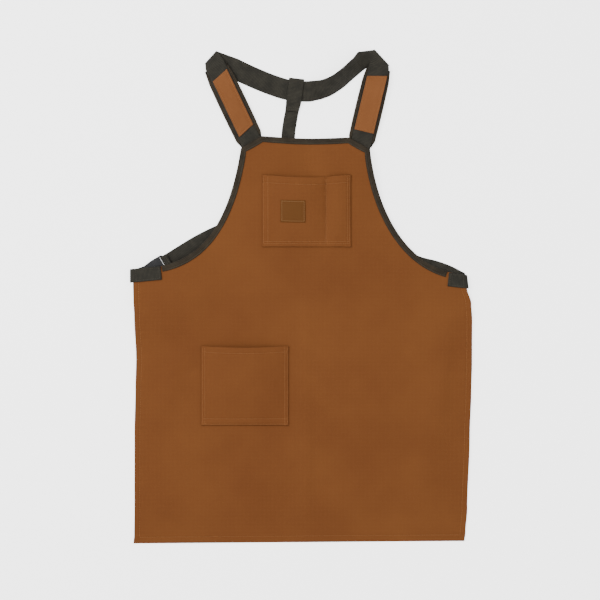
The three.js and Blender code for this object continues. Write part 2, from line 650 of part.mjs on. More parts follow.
// Both halves lie along X, the socket towards -X, and are turned to the buckle's heading.
const half = buckle.length / 2;
const mouth = half * 0.2;
const slotTo = half - buckle.bar;
const slotFrom = slotTo - buckle.slot;
const prongWidth = buckle.width * 0.17;
function buckleSocket() {
  const w = buckle.width / 2;
  const body = manifoldOf(plate([
    [-half, -w * 0.9], [-slotFrom, -w], [-mouth * 2, -w * 0.86], [mouth, -w], [mouth, w],
    [-mouth * 2, w * 0.86], [-slotFrom, w], [-half, w * 0.9],
  ], buckle.thickness));
  const cavity = block(-slotFrom + buckle.wall, mouth + 1, buckle.width - 3 * buckle.wall - 2,
    buckle.wall, buckle.thickness - buckle.wall);
  const slot = block(-slotTo, -slotFrom, strapWidth + 2 * clearance, -1, buckle.thickness + 1);
  const thinning = [[-1, (buckle.thickness - buckle.bar) / 2], [(buckle.thickness + buckle.bar) / 2, buckle.thickness + 1]]
    .map(([z0, z1]) => block(-half - 1, -slotTo + 0.1, buckle.width + 2, z0, z1));
  const windows = [-1, 1].map((side) =>
    block(-half * 0.3, half * 0.06, 8, buckle.wall, buckle.thickness - buckle.wall, side * w));
  return geometryOf([cavity, slot, ...thinning, ...windows].reduce(
    (solid, cut) => solid.subtract(manifoldOf(cut)), body));
}
function bucklePlug() {
  const w = buckle.width / 2;
  const start = mouth + clearance;
  const frame = manifoldOf(plate([[start, -w], [slotTo, -w], [half, -w * 0.9], [half, w * 0.9], [slotTo, w], [start, w]],
    buckle.thickness));
  const slot = block(slotFrom, slotTo, strapWidth + 2 * clearance, -1, buckle.thickness + 1);
  const thinning = [[-1, (buckle.thickness - buckle.bar) / 2], [(buckle.thickness + buckle.bar) / 2, buckle.thickness + 1]]
    .map(([z0, z1]) => block(slotTo - 0.1, half + 1, buckle.width + 2, z0, z1));
  const inner = (buckle.width - 3 * buckle.wall - 2) / 2 - clearance;
  const depth = [buckle.wall + clearance, buckle.thickness - buckle.wall - clearance];
  const prongs = [-1, 0, 1].map((side) =>
    block(-half * 0.35, start + 1, prongWidth, ...depth, side * (inner - prongWidth / 2)));
  const cut = [slot, ...thinning].reduce((solid, box) => solid.subtract(manifoldOf(box)), frame);
  return geometryOf(prongs.reduce((solid, prong) => solid.add(manifoldOf(prong)), cut));
}

// Colours and finishes.
const finishes = {
  canvas: { color: "#87512b", roughness: 0.88, metalness: 0 },
  padCanvas: { color: "#95592f", roughness: 0.88, metalness: 0 },
  webbing: { color: "#3e3a32", roughness: 0.8, metalness: 0 },
  tape: { color: "#3a362e", roughness: 0.82, metalness: 0 },
  patch: { color: "#7f5130", roughness: 0.6, metalness: 0 },
  plastic: { color: "#17171a", roughness: 0.45, metalness: 0 },
};
const apron = new THREE.Group();
function addPiece(name, geometry, finish) {
  const mesh = new THREE.Mesh(geometry, new THREE.MeshStandardMaterial(finishes[finish]));
  mesh.name = name;
  apron.add(mesh);
  return mesh;
}

addPiece("canvas_panel", canvasPanel(), "canvas");
addPiece("edge_binding", edgeBinding(), "tape");
addPiece("tool_pocket", pocketFront(toolSurface, [...evenShares(0, 1, 10), 1], 8), "canvas");
const penSeams = [...evenShares(0, penSeamShare, 8), ...evenShares(penSeamShare, 1, 4), 1];
addPiece("bib_pocket", pocketFront(bibSurface, penSeams, 8), "canvas");
addPiece("label_patch", labelPatch(), "patch");
for (const side of ["left", "right"]) {
  const inner = side === "left" ? 1 : -1;
  addPiece(`${side}_pad`, padCore(pads[side], padFrames[side]), "tape");
  addPiece(`${side}_pad_inner_tape`, padTape(pads[side], padFrames[side], inner), "tape");
  addPiece(`${side}_pad_outer_tape`, padTape(pads[side], padFrames[side], -inner), "tape");
  addPiece(`${side}_pad_canvas`, padInsert(pads[side], padFrames[side]), "padCanvas");
}
addPiece("harness_webbing", harnessWebbing(), "webbing");
addPiece("centre_strap", centreStrap(), "webbing");
addPiece("waist_strap", waistStrap(), "webbing");
addPiece("left_tab", leftTab(), "webbing");
for (const [name, geometry] of [["buckle_socket", buckleSocket()], ["buckle_plug", bucklePlug()]]) {
  const mesh = addPiece(name, geometry, "plastic");
  mesh.position.set(buckleAt.x, buckleAt.y, 0);
  mesh.rotation.z = THREE.MathUtils.degToRad(buckle.heading);
}

// The origin is the middle of the footprint, on the floor.
apron.updateMatrixWorld(true);
const box = new THREE.Box3().setFromObject(apron, true);
const middle = box.getCenter(vec(0, 0));
apron.position.set(-middle.x, -middle.y, -box.min.z);
export default apron;
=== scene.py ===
import bmesh
import bpy
import math
import numpy as np
from mathutils import Matrix, Vector, noise


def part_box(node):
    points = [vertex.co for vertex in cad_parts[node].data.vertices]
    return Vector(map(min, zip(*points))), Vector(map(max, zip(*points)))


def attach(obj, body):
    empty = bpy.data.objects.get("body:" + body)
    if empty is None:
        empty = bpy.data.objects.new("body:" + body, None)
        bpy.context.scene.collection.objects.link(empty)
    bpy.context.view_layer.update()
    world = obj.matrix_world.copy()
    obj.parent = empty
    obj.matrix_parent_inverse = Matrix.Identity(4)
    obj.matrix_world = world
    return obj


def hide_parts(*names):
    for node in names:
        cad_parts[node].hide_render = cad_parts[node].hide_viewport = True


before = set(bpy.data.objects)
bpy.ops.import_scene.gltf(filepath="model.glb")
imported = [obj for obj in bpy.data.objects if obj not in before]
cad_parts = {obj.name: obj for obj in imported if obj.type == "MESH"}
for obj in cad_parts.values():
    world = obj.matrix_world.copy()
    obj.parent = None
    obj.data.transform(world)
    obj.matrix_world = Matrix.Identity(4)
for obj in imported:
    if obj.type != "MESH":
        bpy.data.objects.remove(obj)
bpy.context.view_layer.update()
mm = 0.001

# The apron lies flat. Everything is worked out in millimetres, x from the panel's middle and y from its hem,
# and goes into the frame's metres at the very end.
apron = {
    "clearance": 0.3,
    "canvas": 1.2,
    "webbing": 1.8,
    "tape": 0.8,
    "panelWidth": 626,
    "waistHeight": 515,
    "rightWaistDrop": 11,
    "bibHeight": 763,
    "bibTopWidth": 164,
    "bibOffset": 9.4,
    "cornerCut": (38, 22),
    "bibTopDip": 3,
    "bibSkew": 2.5,
    "hemSkew": 4.7,
    "hemNarrowing": 5.5,  # the hem's right end lies this far in
    "rightWaistInset": 4,
    "sideHem": 10,
    "bottomHem": 12,
    "hemLayers": 1.9,  # a hem's thickness, in layers of canvas
    "floorRoom": 0.05,
    "bindingWidth": 10.2,
    "harnessWidth": 38,
    "strapWidth": 25,
    "padWidth": 52,
    "padThickness": 3.5,
    "padEdge": 2.5,
    "padTapeWidth": 6.2,
    "underBib": 26,
    "tabOverlap": {"left": 52, "right": 33},
    "tabSlack": {"left": 3, "right": 0.5},
    "loopTail": 18,
    "loopRamp": 8,
    "loopRoom": 1.5,
    "barTail": 9,
    "drapeReach": 150,
    "stiffness": 28,
}
toolPocket = {"width": 163, "height": 148, "fromSide": 127, "fromHem": 222, "mouthDip": 3, "bulge": 13}
bibPocket = {"width": 165, "height": 134, "fromBibMiddle": 80.4, "fromBibTop": 72, "mouthDip": 5, "bulge": 9,
             "penSeam": 0.72, "penBulge": 0.9}
toolPocket["left"] = -apron["panelWidth"] / 2 + toolPocket["fromSide"]
toolPocket["top"] = toolPocket["fromHem"] + toolPocket["height"]
bibPocket["left"] = apron["bibOffset"] - bibPocket["fromBibMiddle"]
bibPocket["top"] = apron["bibHeight"] - bibPocket["fromBibTop"]
label = {"width": 46, "height": 42, "thickness": 1.2, "fromLeft": 34, "fromTop": 45, "lift": 0.75, "sunk": 0.4,
         "roundedBy": 0.45, "stitchedAt": 2.2, "pressedAt": 5.2}
buckle = {"length": 56, "width": 31, "thickness": 9, "bar": 3, "heading": 30, "inset": 36, "drop": 0.5,
          "wall": 2, "slot": 3.3, "mouthShare": 0.2, "endShare": 0.9, "waistShare": 0.86, "prongShare": 0.17}
padShapes = {
    "left": {"length": 157, "heading": 115.5, "footShare": 0.5, "neck": 20, "crease": 48, "gather": 0.8,
             "foot": 0.159, "head": 0.885, "width": 33, "shift": 0.5, "footSlant": 17, "headSlant": 17},
    "right": {"length": 147, "heading": 76.6, "footShare": 0.44, "neck": 21, "crease": 133, "gather": 0.9,
              "foot": 0.177, "head": 0.898, "width": 36, "shift": 0.5, "footSlant": 0, "headSlant": 13},
}
# share of the height, then of the panel's width outwards at the left and the right
sideBow = [(0, 0, 0), (0.03, -0.002, 0.003), (0.12, -0.003, 0.008), (0.4, -0.003, 0.015), (0.56, -0.006, 0.019),
           (0.67, -0.008, 0.021), (0.83, -0.003, 0.021), (0.89, -0.001, 0.018), (0.95, 0, 0.005), (1, 0, 0)]
armholeHandles = {"left": [(0.4, 0), (0.843, 0.099)], "right": [(0.675, 0.026), (0.949, 0.604)]}
foldHeight = 5
# x and y as shares of the panel, heading, length, spread, rise
folds = [(0.01, 0.15, 90, 0.17, 0.055, 0.6), (-0.08, 0.165, 0, 0.1, 0.03, 0.4),
         (-0.33, 0.07, -35, 0.09, 0.035, 0.8), (-0.15, 0.08, -50, 0.08, 0.035, 0.6),
         (0.2, 0.13, 25, 0.12, 0.06, 0.7), (0.4, 0.3, 80, 0.14, 0.04, 0.8),
         (-0.38, 0.4, 70, 0.1, 0.04, 0.5)]
padTaper = [(0, 0.84), (0.1, 0.98), (0.3, 1), (0.55, 1), (0.8, 0.98), (1, 0.88)]
# share of the span, drop as a share of it, and how far the upper edge is turned up
yokeRoute = [(0.09, 0.038, 0), (0.16, 0.074, 0), (0.26, 0.12, 0), (0.36, 0.16, 0), (0.45, 0.188, 0),
             (0.56, 0.198, 0), (0.62, 0.193, 24), (0.67, 0.182, 34), (0.74, 0.146, 42), (0.8, 0.098, 46),
             (0.86, 0.045, 44), (0.91, 0.004, 28)]
waistRoute = [(0.14, 0.092), (0.3, 0.163), (0.43, 0.175), (0.58, 0.152), (0.72, 0.1), (0.84, 0.052),
              (0.9, 0.04), (0.945, 0.026)]
centreOnYoke, centreOnWaist = 0.495, 0.385
# The centre strap is spread where it goes over the yoke, and swings to the left below it.
centreSlack = {"loopWidth": 1.12, "narrowing": (22, 36), "lean": 4, "leanAt": 75, "leanOver": 42,
               "rowsAt": (14, 34, 60, 95)}


def smooth(value, low, high):
    share = np.clip((np.asarray(value, float) - low) / (high - low), 0, 1)
    return share * share * (3 - 2 * share)


def mix(a, b, share):
    return a + (b - a) * share


# The value in a table's column at a share, eased between its rows
def tableAt(rows, share, column=1):
    later = max(next(i for i, row in enumerate(rows) if row[0] >= share - 1e-6), 1)
    a, b = rows[later - 1], rows[later]
    return mix(a[column], b[column], float(smooth(share, a[0], b[0])))


def turned(degrees):
    angle = math.radians(degrees)
    return np.array([math.cos(angle), math.sin(angle), 0.0])


def headingOf(direction):
    return math.degrees(math.atan2(direction[1], direction[0]))


def point(x, y, z=0.0):
    return np.array([x, y, z], float)


def layer(thickness):
    return thickness + apron["clearance"]


up = point(0, 0, 1)


# The outline: hem corners, waist corners, cut bib corners
halfPanel = apron["panelWidth"] / 2
hemLeft, hemRight = point(-halfPanel, 0), point(halfPanel - apron["hemNarrowing"], apron["hemSkew"])
waistLeft = point(-halfPanel, apron["waistHeight"])
waistRight = point(halfPanel - apron["rightWaistInset"], apron["waistHeight"] - apron["rightWaistDrop"])
bibLeft = point(apron["bibOffset"] - apron["bibTopWidth"] / 2, apron["bibHeight"])
bibRight = point(apron["bibOffset"] + apron["bibTopWidth"] / 2, apron["bibHeight"] - apron["bibSkew"])
cutLeft = bibLeft + point(-apron["cornerCut"][0], -apron["cornerCut"][1])
cutRight = bibRight + point(apron["cornerCut"][0], -apron["cornerCut"][1])


def lengthsAlong(points):
    return np.concatenate([[0], np.cumsum(np.linalg.norm(np.diff(points, axis=0), axis=1))])


def evenly(points, count):
    points = np.asarray(points)
    reach = lengthsAlong(points)
    at = np.linspace(0, reach[-1], count)
    return np.stack([np.interp(at, reach, points[:, i]) for i in range(points.shape[1])], axis=1)


# rows lie close together across the bottom hem and its stitching
hemRows = [0, 1.2, 2.5, 4.5, 7, 9, 10.2, 11, 11.6, 12, 12.4, 13, 14, 16, 19, 23]
sideShares = np.concatenate([np.array(hemRows) / apron["waistHeight"],
                             np.linspace(27 / apron["waistHeight"], 1, 128)])
armholeSteps, cutSteps = 84, 12


def outlineOf(side, hem, waist, cut, bib):
    column = 1 if side == "left" else 2
    points = []
    for share in sideShares:
        bow = tableAt(sideBow, share, column) * apron["panelWidth"]
        points.append(mix(hem, waist, share) + point(bow if side == "right" else -bow, 0))
    handles = [point(mix(waist[0], cut[0], x), mix(waist[1], cut[1], y)) for x, y in armholeHandles[side]]
    t = np.linspace(0, 1, 300)[:, None]
    curve = ((1 - t) ** 3 * waist + 3 * (1 - t) ** 2 * t * handles[0]
             + 3 * (1 - t) * t ** 2 * handles[1] + t ** 3 * cut)
    points += list(evenly(curve, armholeSteps + 1)[1:])
    points += [mix(cut, bib, i / cutSteps) for i in range(1, cutSteps + 1)]
    return np.array(points)


leftOutline = outlineOf("left", hemLeft, waistLeft, cutLeft, bibLeft)
rightOutline = outlineOf("right", hemRight, waistRight, cutRight, bibRight)
waistRow = len(sideShares) - 1
cutRow = waistRow + armholeSteps


# Where a path first reaches a value of x (axis 0) or y (axis 1)
def reaching(path, axis, value):
    later = int(np.argmax(path[:, axis] >= value))
    a, b = path[later - 1], path[later]
    return mix(a, b, (value - a[axis]) / (b[axis] - a[axis]))


def padPlace(side):
    shape = padShapes[side]
    cut, bib = (cutLeft, bibLeft) if side == "left" else (cutRight, bibRight)
    foot = mix(cut, bib, shape["footShare"])
    along, across = turned(shape["heading"]), turned(shape["heading"] - 90)
    return lambda a, b, z=0.0: point(*(foot + along * a + across * b)[:2], z)


padAt = {side: padPlace(side) for side in padShapes}
crease = {side: padAt[side](shape["length"] + shape["neck"], 0) for side, shape in padShapes.items()}
buckleMiddle = waistLeft + point(buckle["inset"], -buckle["drop"])
barReach = (buckle["length"] - buckle["bar"]) / 2
plugBar = buckleMiddle + turned(buckle["heading"]) * barReach
socketBar = buckleMiddle - turned(buckle["heading"]) * barReach
rightTabEdge = reaching(rightOutline, 1, waistRight[1] - apron["strapWidth"] / 2)
leftTabEdge = reaching(leftOutline, 1, waistLeft[1] - apron["strapWidth"] / 2)


# A centripetal spline through the points, as the construction has it.
def spline(points, count):
    points = np.asarray(points)
    ends = np.vstack([2 * points[0] - points[1], points, 2 * points[-1] - points[-2]])
    made = []
    pieces = len(points) - 1
    for t in np.linspace(0, pieces, count):
        i = min(int(t), pieces - 1)
        p0, p1, p2, p3 = ends[i:i + 4]
        knots = np.maximum([np.linalg.norm(b - a) ** 0.5 for a, b in ((p0, p1), (p1, p2), (p2, p3))], 1e-4)
        start = ((p1 - p0) / knots[0] - (p2 - p0) / (knots[0] + knots[1]) + (p2 - p1) / knots[1]) * knots[1]
        end = ((p2 - p1) / knots[1] - (p3 - p1) / (knots[1] + knots[2]) + (p3 - p2) / knots[2]) * knots[1]
        u = t - i
        made.append(p1 + start * u + (3 * (p2 - p1) - 2 * start - end) * u ** 2
                    + (2 * (p1 - p2) + start + end) * u ** 3)
    return np.array(made)


def routePoints(start, end, rows, sign, count):
    span = end - start
    length = np.linalg.norm(span)
    places = [start + span * row[0] + point(0, sign * row[1] * length) for row in rows]
    return spline([start, *places, end], count)


yokePath = routePoints(crease["left"], crease["right"], yokeRoute, -1, 200)
waistPath = routePoints(plugBar, rightTabEdge, waistRoute, 1, 200)


def crossing(path, share):
    return reaching(path, 0, path[0][0] + (path[-1][0] - path[0][0]) * share)


yokeCrossing, waistCrossing = crossing(yokePath, centreOnYoke), crossing(waistPath, centreOnWaist)

# Heights: what lies under the panel and how high it holds it
webbing, tape, canvas = apron["webbing"], apron["tape"], apron["canvas"]
padFoot = layer(tape)
padHead = layer(webbing) + layer(tape)
padStack = padFoot + layer(apron["padThickness"]) + layer(webbing) + layer(tape)
crossingStack = layer(webbing) + layer(tape)
evenWaist = evenly(waistPath, 201)
# place, height, and how far it holds the cloth flat and lifts it, as shares of the stiffness and the drape's reach
supports = [(padAt["left"](0, 0), padStack, 1, 1), (padAt["right"](0, 0), padStack, 1, 1),
            (mix(bibLeft, bibRight, 0.32), crossingStack, 1, 0.75),
            (waistCrossing, 3 * layer(webbing), 1.2, 1),
            (buckleMiddle, layer(buckle["thickness"]) + layer(tape), 1.5, 1.1),
            (rightTabEdge, crossingStack, 1, 0.8)]
supports += [(evenWaist[int(share * 200)], crossingStack, 0.75, 0.7)
             for share in (0.08, 0.16, 0.24, 0.32, 0.5, 0.6, 0.7, 0.8, 0.9)]
blendPower, restingFade = 5, 0.6 * apron["drapeReach"]


def restHeight(x, y):
    x, y = np.asarray(x, float), np.asarray(y, float)
    held = 0.0
    for at, height, coreShare, reachShare in supports:
        core, reach = coreShare * apron["stiffness"], reachShare * apron["drapeReach"]
        share = np.clip((np.hypot(x - at[0], y - at[1]) - core) / (reach - core), 0, 1)
        held = held + (height * (1 + np.cos(np.pi * share)) / 2) ** blendPower
    folded = 0.0
    for foldX, foldY, heading, length, spread, rise in folds:
        along = turned(heading)
        dx, dy = x - foldX * apron["panelWidth"], y - foldY * apron["bibHeight"]
        far = (dx * along[0] + dy * along[1]) / (length * apron["bibHeight"])
        wide = (dx * along[1] - dy * along[0]) / (spread * apron["panelWidth"])
        folded = folded + rise * foldHeight * np.exp(-far ** 2 - wide ** 2)
    fade = smooth(y, apron["bottomHem"] + apron["hemSkew"], apron["bottomHem"] + restingFade)
    return canvas + (held ** (1 / blendPower) + folded) * fade


def topHeight(x, y):
    return restHeight(x, y) + canvas


# Soft creases of cloth that was folded and packed: place, heading, length, spread and rise in millimetres
creases = [(12, 190, 90, 210, 11, 1.5), (12, 420, 90, 70, 9, 0.7), (-95, 468, 4, 120, 10, 0.6),
           (-262, 70, -38, 90, 13, 1.3), (-215, 38, -30, 70, 10, 0.9), (-150, 110, -52, 70, 12, 0.7),
           (200, 145, 28, 95, 24, -1.4), (150, 95, 60, 60, 16, 0.8), (287, 330, 86, 90, 12, -1.2),
           (-202, 325, 20, 22, 10, -1.3), (-232, 300, -50, 42, 8, 0.7), (120, 480, -8, 110, 15, 0.6),
           (110, 738, -35, 20, 4, 1.2), (-60, 640, 90, 60, 9, 0.5), (60, 560, 70, 80, 12, 0.6),
           (-285, 440, 62, 50, 9, 0.7), (262, 445, -40, 60, 12, 0.7), (40, 60, 8, 90, 14, 0.6)]
rumples = [(96, 1.5, 0), (41, 0.6, 7), (17, 0.16, 19)]  # size, height and seed of the waves all over
reliefLift, reliefFade = 1.0, 60  # keeps the waves above what lies under, and lets them out towards the hem


def relief(x, y):
    x, y = np.broadcast_arrays(np.asarray(x, float), np.asarray(y, float))
    total = np.zeros(x.shape)
    for creaseX, creaseY, heading, length, spread, rise in creases:
        along = turned(heading)
        far = ((x - creaseX) * along[0] + (y - creaseY) * along[1]) / length
        wide = ((x - creaseX) * along[1] - (y - creaseY) * along[0]) / spread
        total += rise * np.exp(-far ** 2 - wide ** 2)
    for size, height, seed in rumples:
        wave = np.vectorize(lambda a, b: noise.noise(Vector((a, b, seed))))
        total += height * wave(x / size, y / size * 0.8)
    return (total + reliefLift) * smooth(y, apron["bottomHem"], apron["bottomHem"] + reliefFade)


def clothHeight(x, y):
    return topHeight(x, y) + relief(x, y)


# What a seam presses into the cloth
def groove(distance, width=1.0, depth=0.4):
    return -depth * np.exp(-(np.asarray(distance, float) / width) ** 2)


# Cloth draws up between stitches: short swells along a seam, none on it.
def puckers(along, distance, reach=9.0, pitch=12.0, height=0.35):
    wave = np.sin(2 * np.pi * along / pitch + 2.1 * np.sin(along / 37.0) + 1.3 * np.sin(along / 13.7))
    return height * wave * np.exp(-(np.asarray(distance, float) / reach) ** 2)


# Where the frame puts the panel's lowest corner tells how far these millimetres are from the frame's origin.
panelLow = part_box("canvas_panel")[0]
toFrame = point(panelLow[0] / mm - min(leftOutline[:, 0]), panelLow[1] / mm, 0)


# A piece from its points in millimetres and its faces
def makeObject(name, vertices, faces):
    mesh = bpy.data.meshes.new(name)
    placed = (np.asarray(vertices, float) + toFrame) * mm
    mesh.from_pydata(placed.tolist(), [], faces)
    mesh.validate()
    mesh.polygons.foreach_set("use_smooth", [True] * len(mesh.polygons))
    mesh.update()
    piece = bpy.data.objects.new(name, mesh)
    bpy.context.scene.collection.objects.link(piece)
    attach(piece, "root")
    return piece


def gridFaces(rows, columns):
    r, c = np.meshgrid(np.arange(rows - 1), np.arange(columns - 1), indexing="ij")
    first = (r * columns + c).ravel()
    return np.stack([first, first + 1, first + columns + 1, first + columns], 1)


# A closed cloth between an upper and a lower grid of the same size.
def clothSolid(name, upper, lower, rolledEdge=0.35):
    rows, columns = upper.shape[:2]
    count = rows * columns
    ring = ([(0, c) for c in range(columns)] + [(r, columns - 1) for r in range(1, rows)]
            + [(rows - 1, c) for c in range(columns - 2, -1, -1)] + [(r, 0) for r in range(rows - 2, 0, -1)])
    ringIndex = np.array([r * columns + c for r, c in ring])
    vertices = [upper.reshape(-1, 3), lower.reshape(-1, 3)]
    face = gridFaces(rows, columns)
    faces = [*face, *(face[:, ::-1] + count)]
    rings = [ringIndex]
    if rolledEdge:  # a middle ring stands a little proud, so the cut edge looks rolled
        a, b = vertices[0][ringIndex], vertices[1][ringIndex]
        middle = (a + b) / 2
        tangent = np.roll(middle, -1, axis=0) - np.roll(middle, 1, axis=0)
        across = a - b
        outward = np.cross(tangent, across)
        outward /= np.maximum(np.linalg.norm(outward, axis=1, keepdims=True), 1e-9)
        centre = middle.mean(axis=0)
        if np.sum(outward * (middle - centre)) < 0:
            outward = -outward
        vertices.append(middle + outward * np.linalg.norm(across, axis=1, keepdims=True) * rolledEdge)
        rings.append(np.arange(len(ringIndex)) + 2 * count)
    rings.append(ringIndex + count)
    for high, low in zip(rings, rings[1:]):
        faces += zip(high, low, np.roll(low, -1), np.roll(high, -1))
    piece = makeObject(name, np.vstack(vertices), [tuple(int(v) for v in f) for f in faces])
    fixNormals(piece)
    return piece


def fixNormals(piece):
    bm = bmesh.new()
    bm.from_mesh(piece.data)
    bmesh.ops.recalc_face_normals(bm, faces=bm.faces)
    bm.to_mesh(piece.data)
    bm.free()


# Colour, nodes and finishes
def colour(hexCode):
    channels = [int(hexCode[i:i + 2], 16) / 255 for i in (1, 3, 5)]
    return tuple(c / 12.92 if c <= 0.04045 else ((c + 0.055) / 1.055) ** 2.4 for c in channels) + (1.0,)


def addNode(tree, kind, settings=None, **links):
    node = tree.nodes.new(kind)
    for key, value in (settings or {}).items():
        if hasattr(node, key):
            setattr(node, key, value)
        else:
            node.inputs[key].default_value = value
    for key, source in links.items():
        target = node.inputs[int(key[2:])] if key.startswith("in") and key[2:].isdigit() else node.inputs[key]
        tree.links.new(source, target)
    return node


def newMaterial(name, roughness, ior, gloss, sheen=0.0, sheenTint="#ffffff"):
    material = bpy.data.materials.new(name)
    material.use_nodes = True
    tree = material.node_tree
    shader = tree.nodes["Principled BSDF"]
    shader.inputs["Roughness"].default_value = roughness
    shader.inputs["IOR"].default_value = ior
    shader.inputs["Metallic"].default_value = 0.0
    shader.inputs["Specular IOR Level"].default_value = gloss
    shader.inputs["Sheen Weight"].default_value = sheen
    shader.inputs["Sheen Roughness"].default_value = 0.5
    shader.inputs["Sheen Tint"].default_value = colour(sheenTint)
    return material, tree, shader


# Two crossed sets of threads
def crossedThreads(tree, vector, scales, settings):
    sets = [addNode(tree, "ShaderNodeTexWave", {"bands_direction": axis, "Scale": scale, **settings},
                    Vector=vector).outputs["Fac"] for axis, scale in zip("XY", scales)]
    return product(tree, *sets)


def product(tree, a, b):
    return addNode(tree, "ShaderNodeMath", {"operation": "MULTIPLY"}, in0=a, in1=b).outputs["Value"]


# A colour for each stop, from position and hex code
def toneRamp(tree, factor, stops):
    ramp = addNode(tree, "ShaderNodeValToRGB", Fac=factor)
    elements = ramp.color_ramp.elements
    elements[0].position, elements[1].position = stops[0][0], stops[-1][0]
    for position, _ in stops[1:-1]:
        elements.new(position)
    for element, (_, shade) in zip(elements, stops):
        element.color = colour(shade)
    return ramp.outputs["Color"]


def addBump(tree, shader, strength, distance, height):
    bump = addNode(tree, "ShaderNodeBump", {"Strength": strength, "Distance": distance}, Height=height)
    tree.links.new(bump.outputs["Normal"], shader.inputs["Normal"])


# Cotton duck, plain woven from two-ply yarn, dyed brown and washed once: a dry surface with a fine crosswise
# grain, paler where the yarn stands up, and slow cloudy changes of tone.
def duckCanvas(name, look):
    material, tree, shader = newMaterial(name, 0.9, 1.46, 0.2, look["sheen"], look["light"])
    place = addNode(tree, "ShaderNodeTexCoord").outputs["Object"]
    turn = addNode(tree, "ShaderNodeMapping", Vector=place)
    turn.inputs["Rotation"].default_value = (0, 0, math.radians(look["turn"]))
    threads = turn.outputs["Vector"]
    weave = crossedThreads(tree, threads, (look["perMetre"], look["perMetre"]),
                           {"Distortion": 1.2, "Detail": 2.0, "Detail Scale": 1.5})
    slubs = addNode(tree, "ShaderNodeTexNoise", {"Scale": 420.0, "Detail": 3.0}, Vector=threads).outputs["Fac"]
    clouds = addNode(tree, "ShaderNodeTexNoise", {"Scale": look["cloudScale"], "Detail": 3.0, "Roughness": 0.55},
                     Vector=place)
    tone = toneRamp(tree, clouds.outputs["Fac"], [(0.33, look["dark"]), (0.68, look["body"])])
    strength = addNode(tree, "ShaderNodeMath", {"operation": "MULTIPLY"}, in0=product(tree, slubs, weave))
    strength.inputs[1].default_value = look["yarnContrast"]
    yarn = addNode(tree, "ShaderNodeMix", {"data_type": "RGBA", "blend_type": "MIX"})
    tree.links.new(strength.outputs["Value"], yarn.inputs["Factor"])
    tree.links.new(tone, yarn.inputs["A"])
    yarn.inputs["B"].default_value = colour(look["light"])
    tree.links.new(yarn.outputs["Result"], shader.inputs["Base Color"])
    height = addNode(tree, "ShaderNodeMath", {"operation": "ADD"}, in0=weave, in1=slubs)
    addBump(tree, shader, look["bump"], 0.0004, height.outputs["Value"])
    return material


# Polypropylene webbing and tape, woven with ribs across and finer threads along: dull, with a low sheen.
def ribbedWeb(name, look):
    material, tree, shader = newMaterial(name, look["roughness"], 1.49, 0.2, look["sheen"], look["light"])
    along = addNode(tree, "ShaderNodeAttribute", {"attribute_name": "weave"}).outputs["Vector"]
    weave = crossedThreads(tree, along, (look["ribs"], look["threads"]), {"Distortion": 0.5, "Detail": 1.0})
    fuzz = addNode(tree, "ShaderNodeTexNoise", {"Scale": 60.0, "Detail": 4.0},
                   Vector=addNode(tree, "ShaderNodeTexCoord").outputs["Object"])
    mixed = addNode(tree, "ShaderNodeMath", {"operation": "MULTIPLY_ADD"}, in0=weave, in2=fuzz.outputs["Fac"])
    mixed.inputs[1].default_value = 0.8
    tone = toneRamp(tree, mixed.outputs["Value"], [(0.35, look["dark"]), (0.7, look["body"]), (1.0, look["light"])])
    tree.links.new(tone, shader.inputs["Base Color"])
    addBump(tree, shader, look["bump"], 0.0005, weave)
    return material


# Stitching: every stitch is a short twisted lozenge of thread, half sunk in the cloth. All lines of one thread
# are one mesh.
thread = {"pitch": 3.3, "length": 2.5, "width": 0.75, "rise": 0.34, "shade": "#85552e", "darkShade": "#3a362c"}


def stitches(name, lines, material):
    vertices, faces = [], []
    for line in lines:
        line = np.asarray(line, float)
        reach = lengthsAlong(line)[-1]
        count = max(int(round(reach / thread["pitch"])), 1)
        knots = evenly(line, count + 1)
        for a, b in zip(knots, knots[1:]):
            step = b - a
            length = np.linalg.norm(step)
            forward = step / length
            side = np.cross(up, forward)
            side /= np.linalg.norm(side)
            middle = (a + b) / 2
            half = length * thread["length"] / thread["pitch"] / 2
            start = len(vertices)
            for share, size in ((-1, 0.25), (-0.55, 0.9), (0, 1), (0.55, 0.9), (1, 0.25)):
                centre = middle + forward * half * share
                w, h = thread["width"] / 2 * size, thread["rise"] * size
                vertices += [centre - side * w, centre - side * w * 0.6 + up * h * 0.8, centre + up * h,
                             centre + side * w * 0.6 + up * h * 0.8, centre + side * w, centre - up * h * 0.5]
            for ring in range(start, start + 24, 6):
                for i in range(6):
                    j = (i + 1) % 6
                    faces.append((ring + i, ring + j, ring + 6 + j, ring + 6 + i))
            faces += [tuple(start + i for i in range(5, -1, -1)), tuple(start + 24 + i for i in range(6))]
    piece = makeObject(name, vertices, faces)
    piece.data.materials.append(material)
    return piece


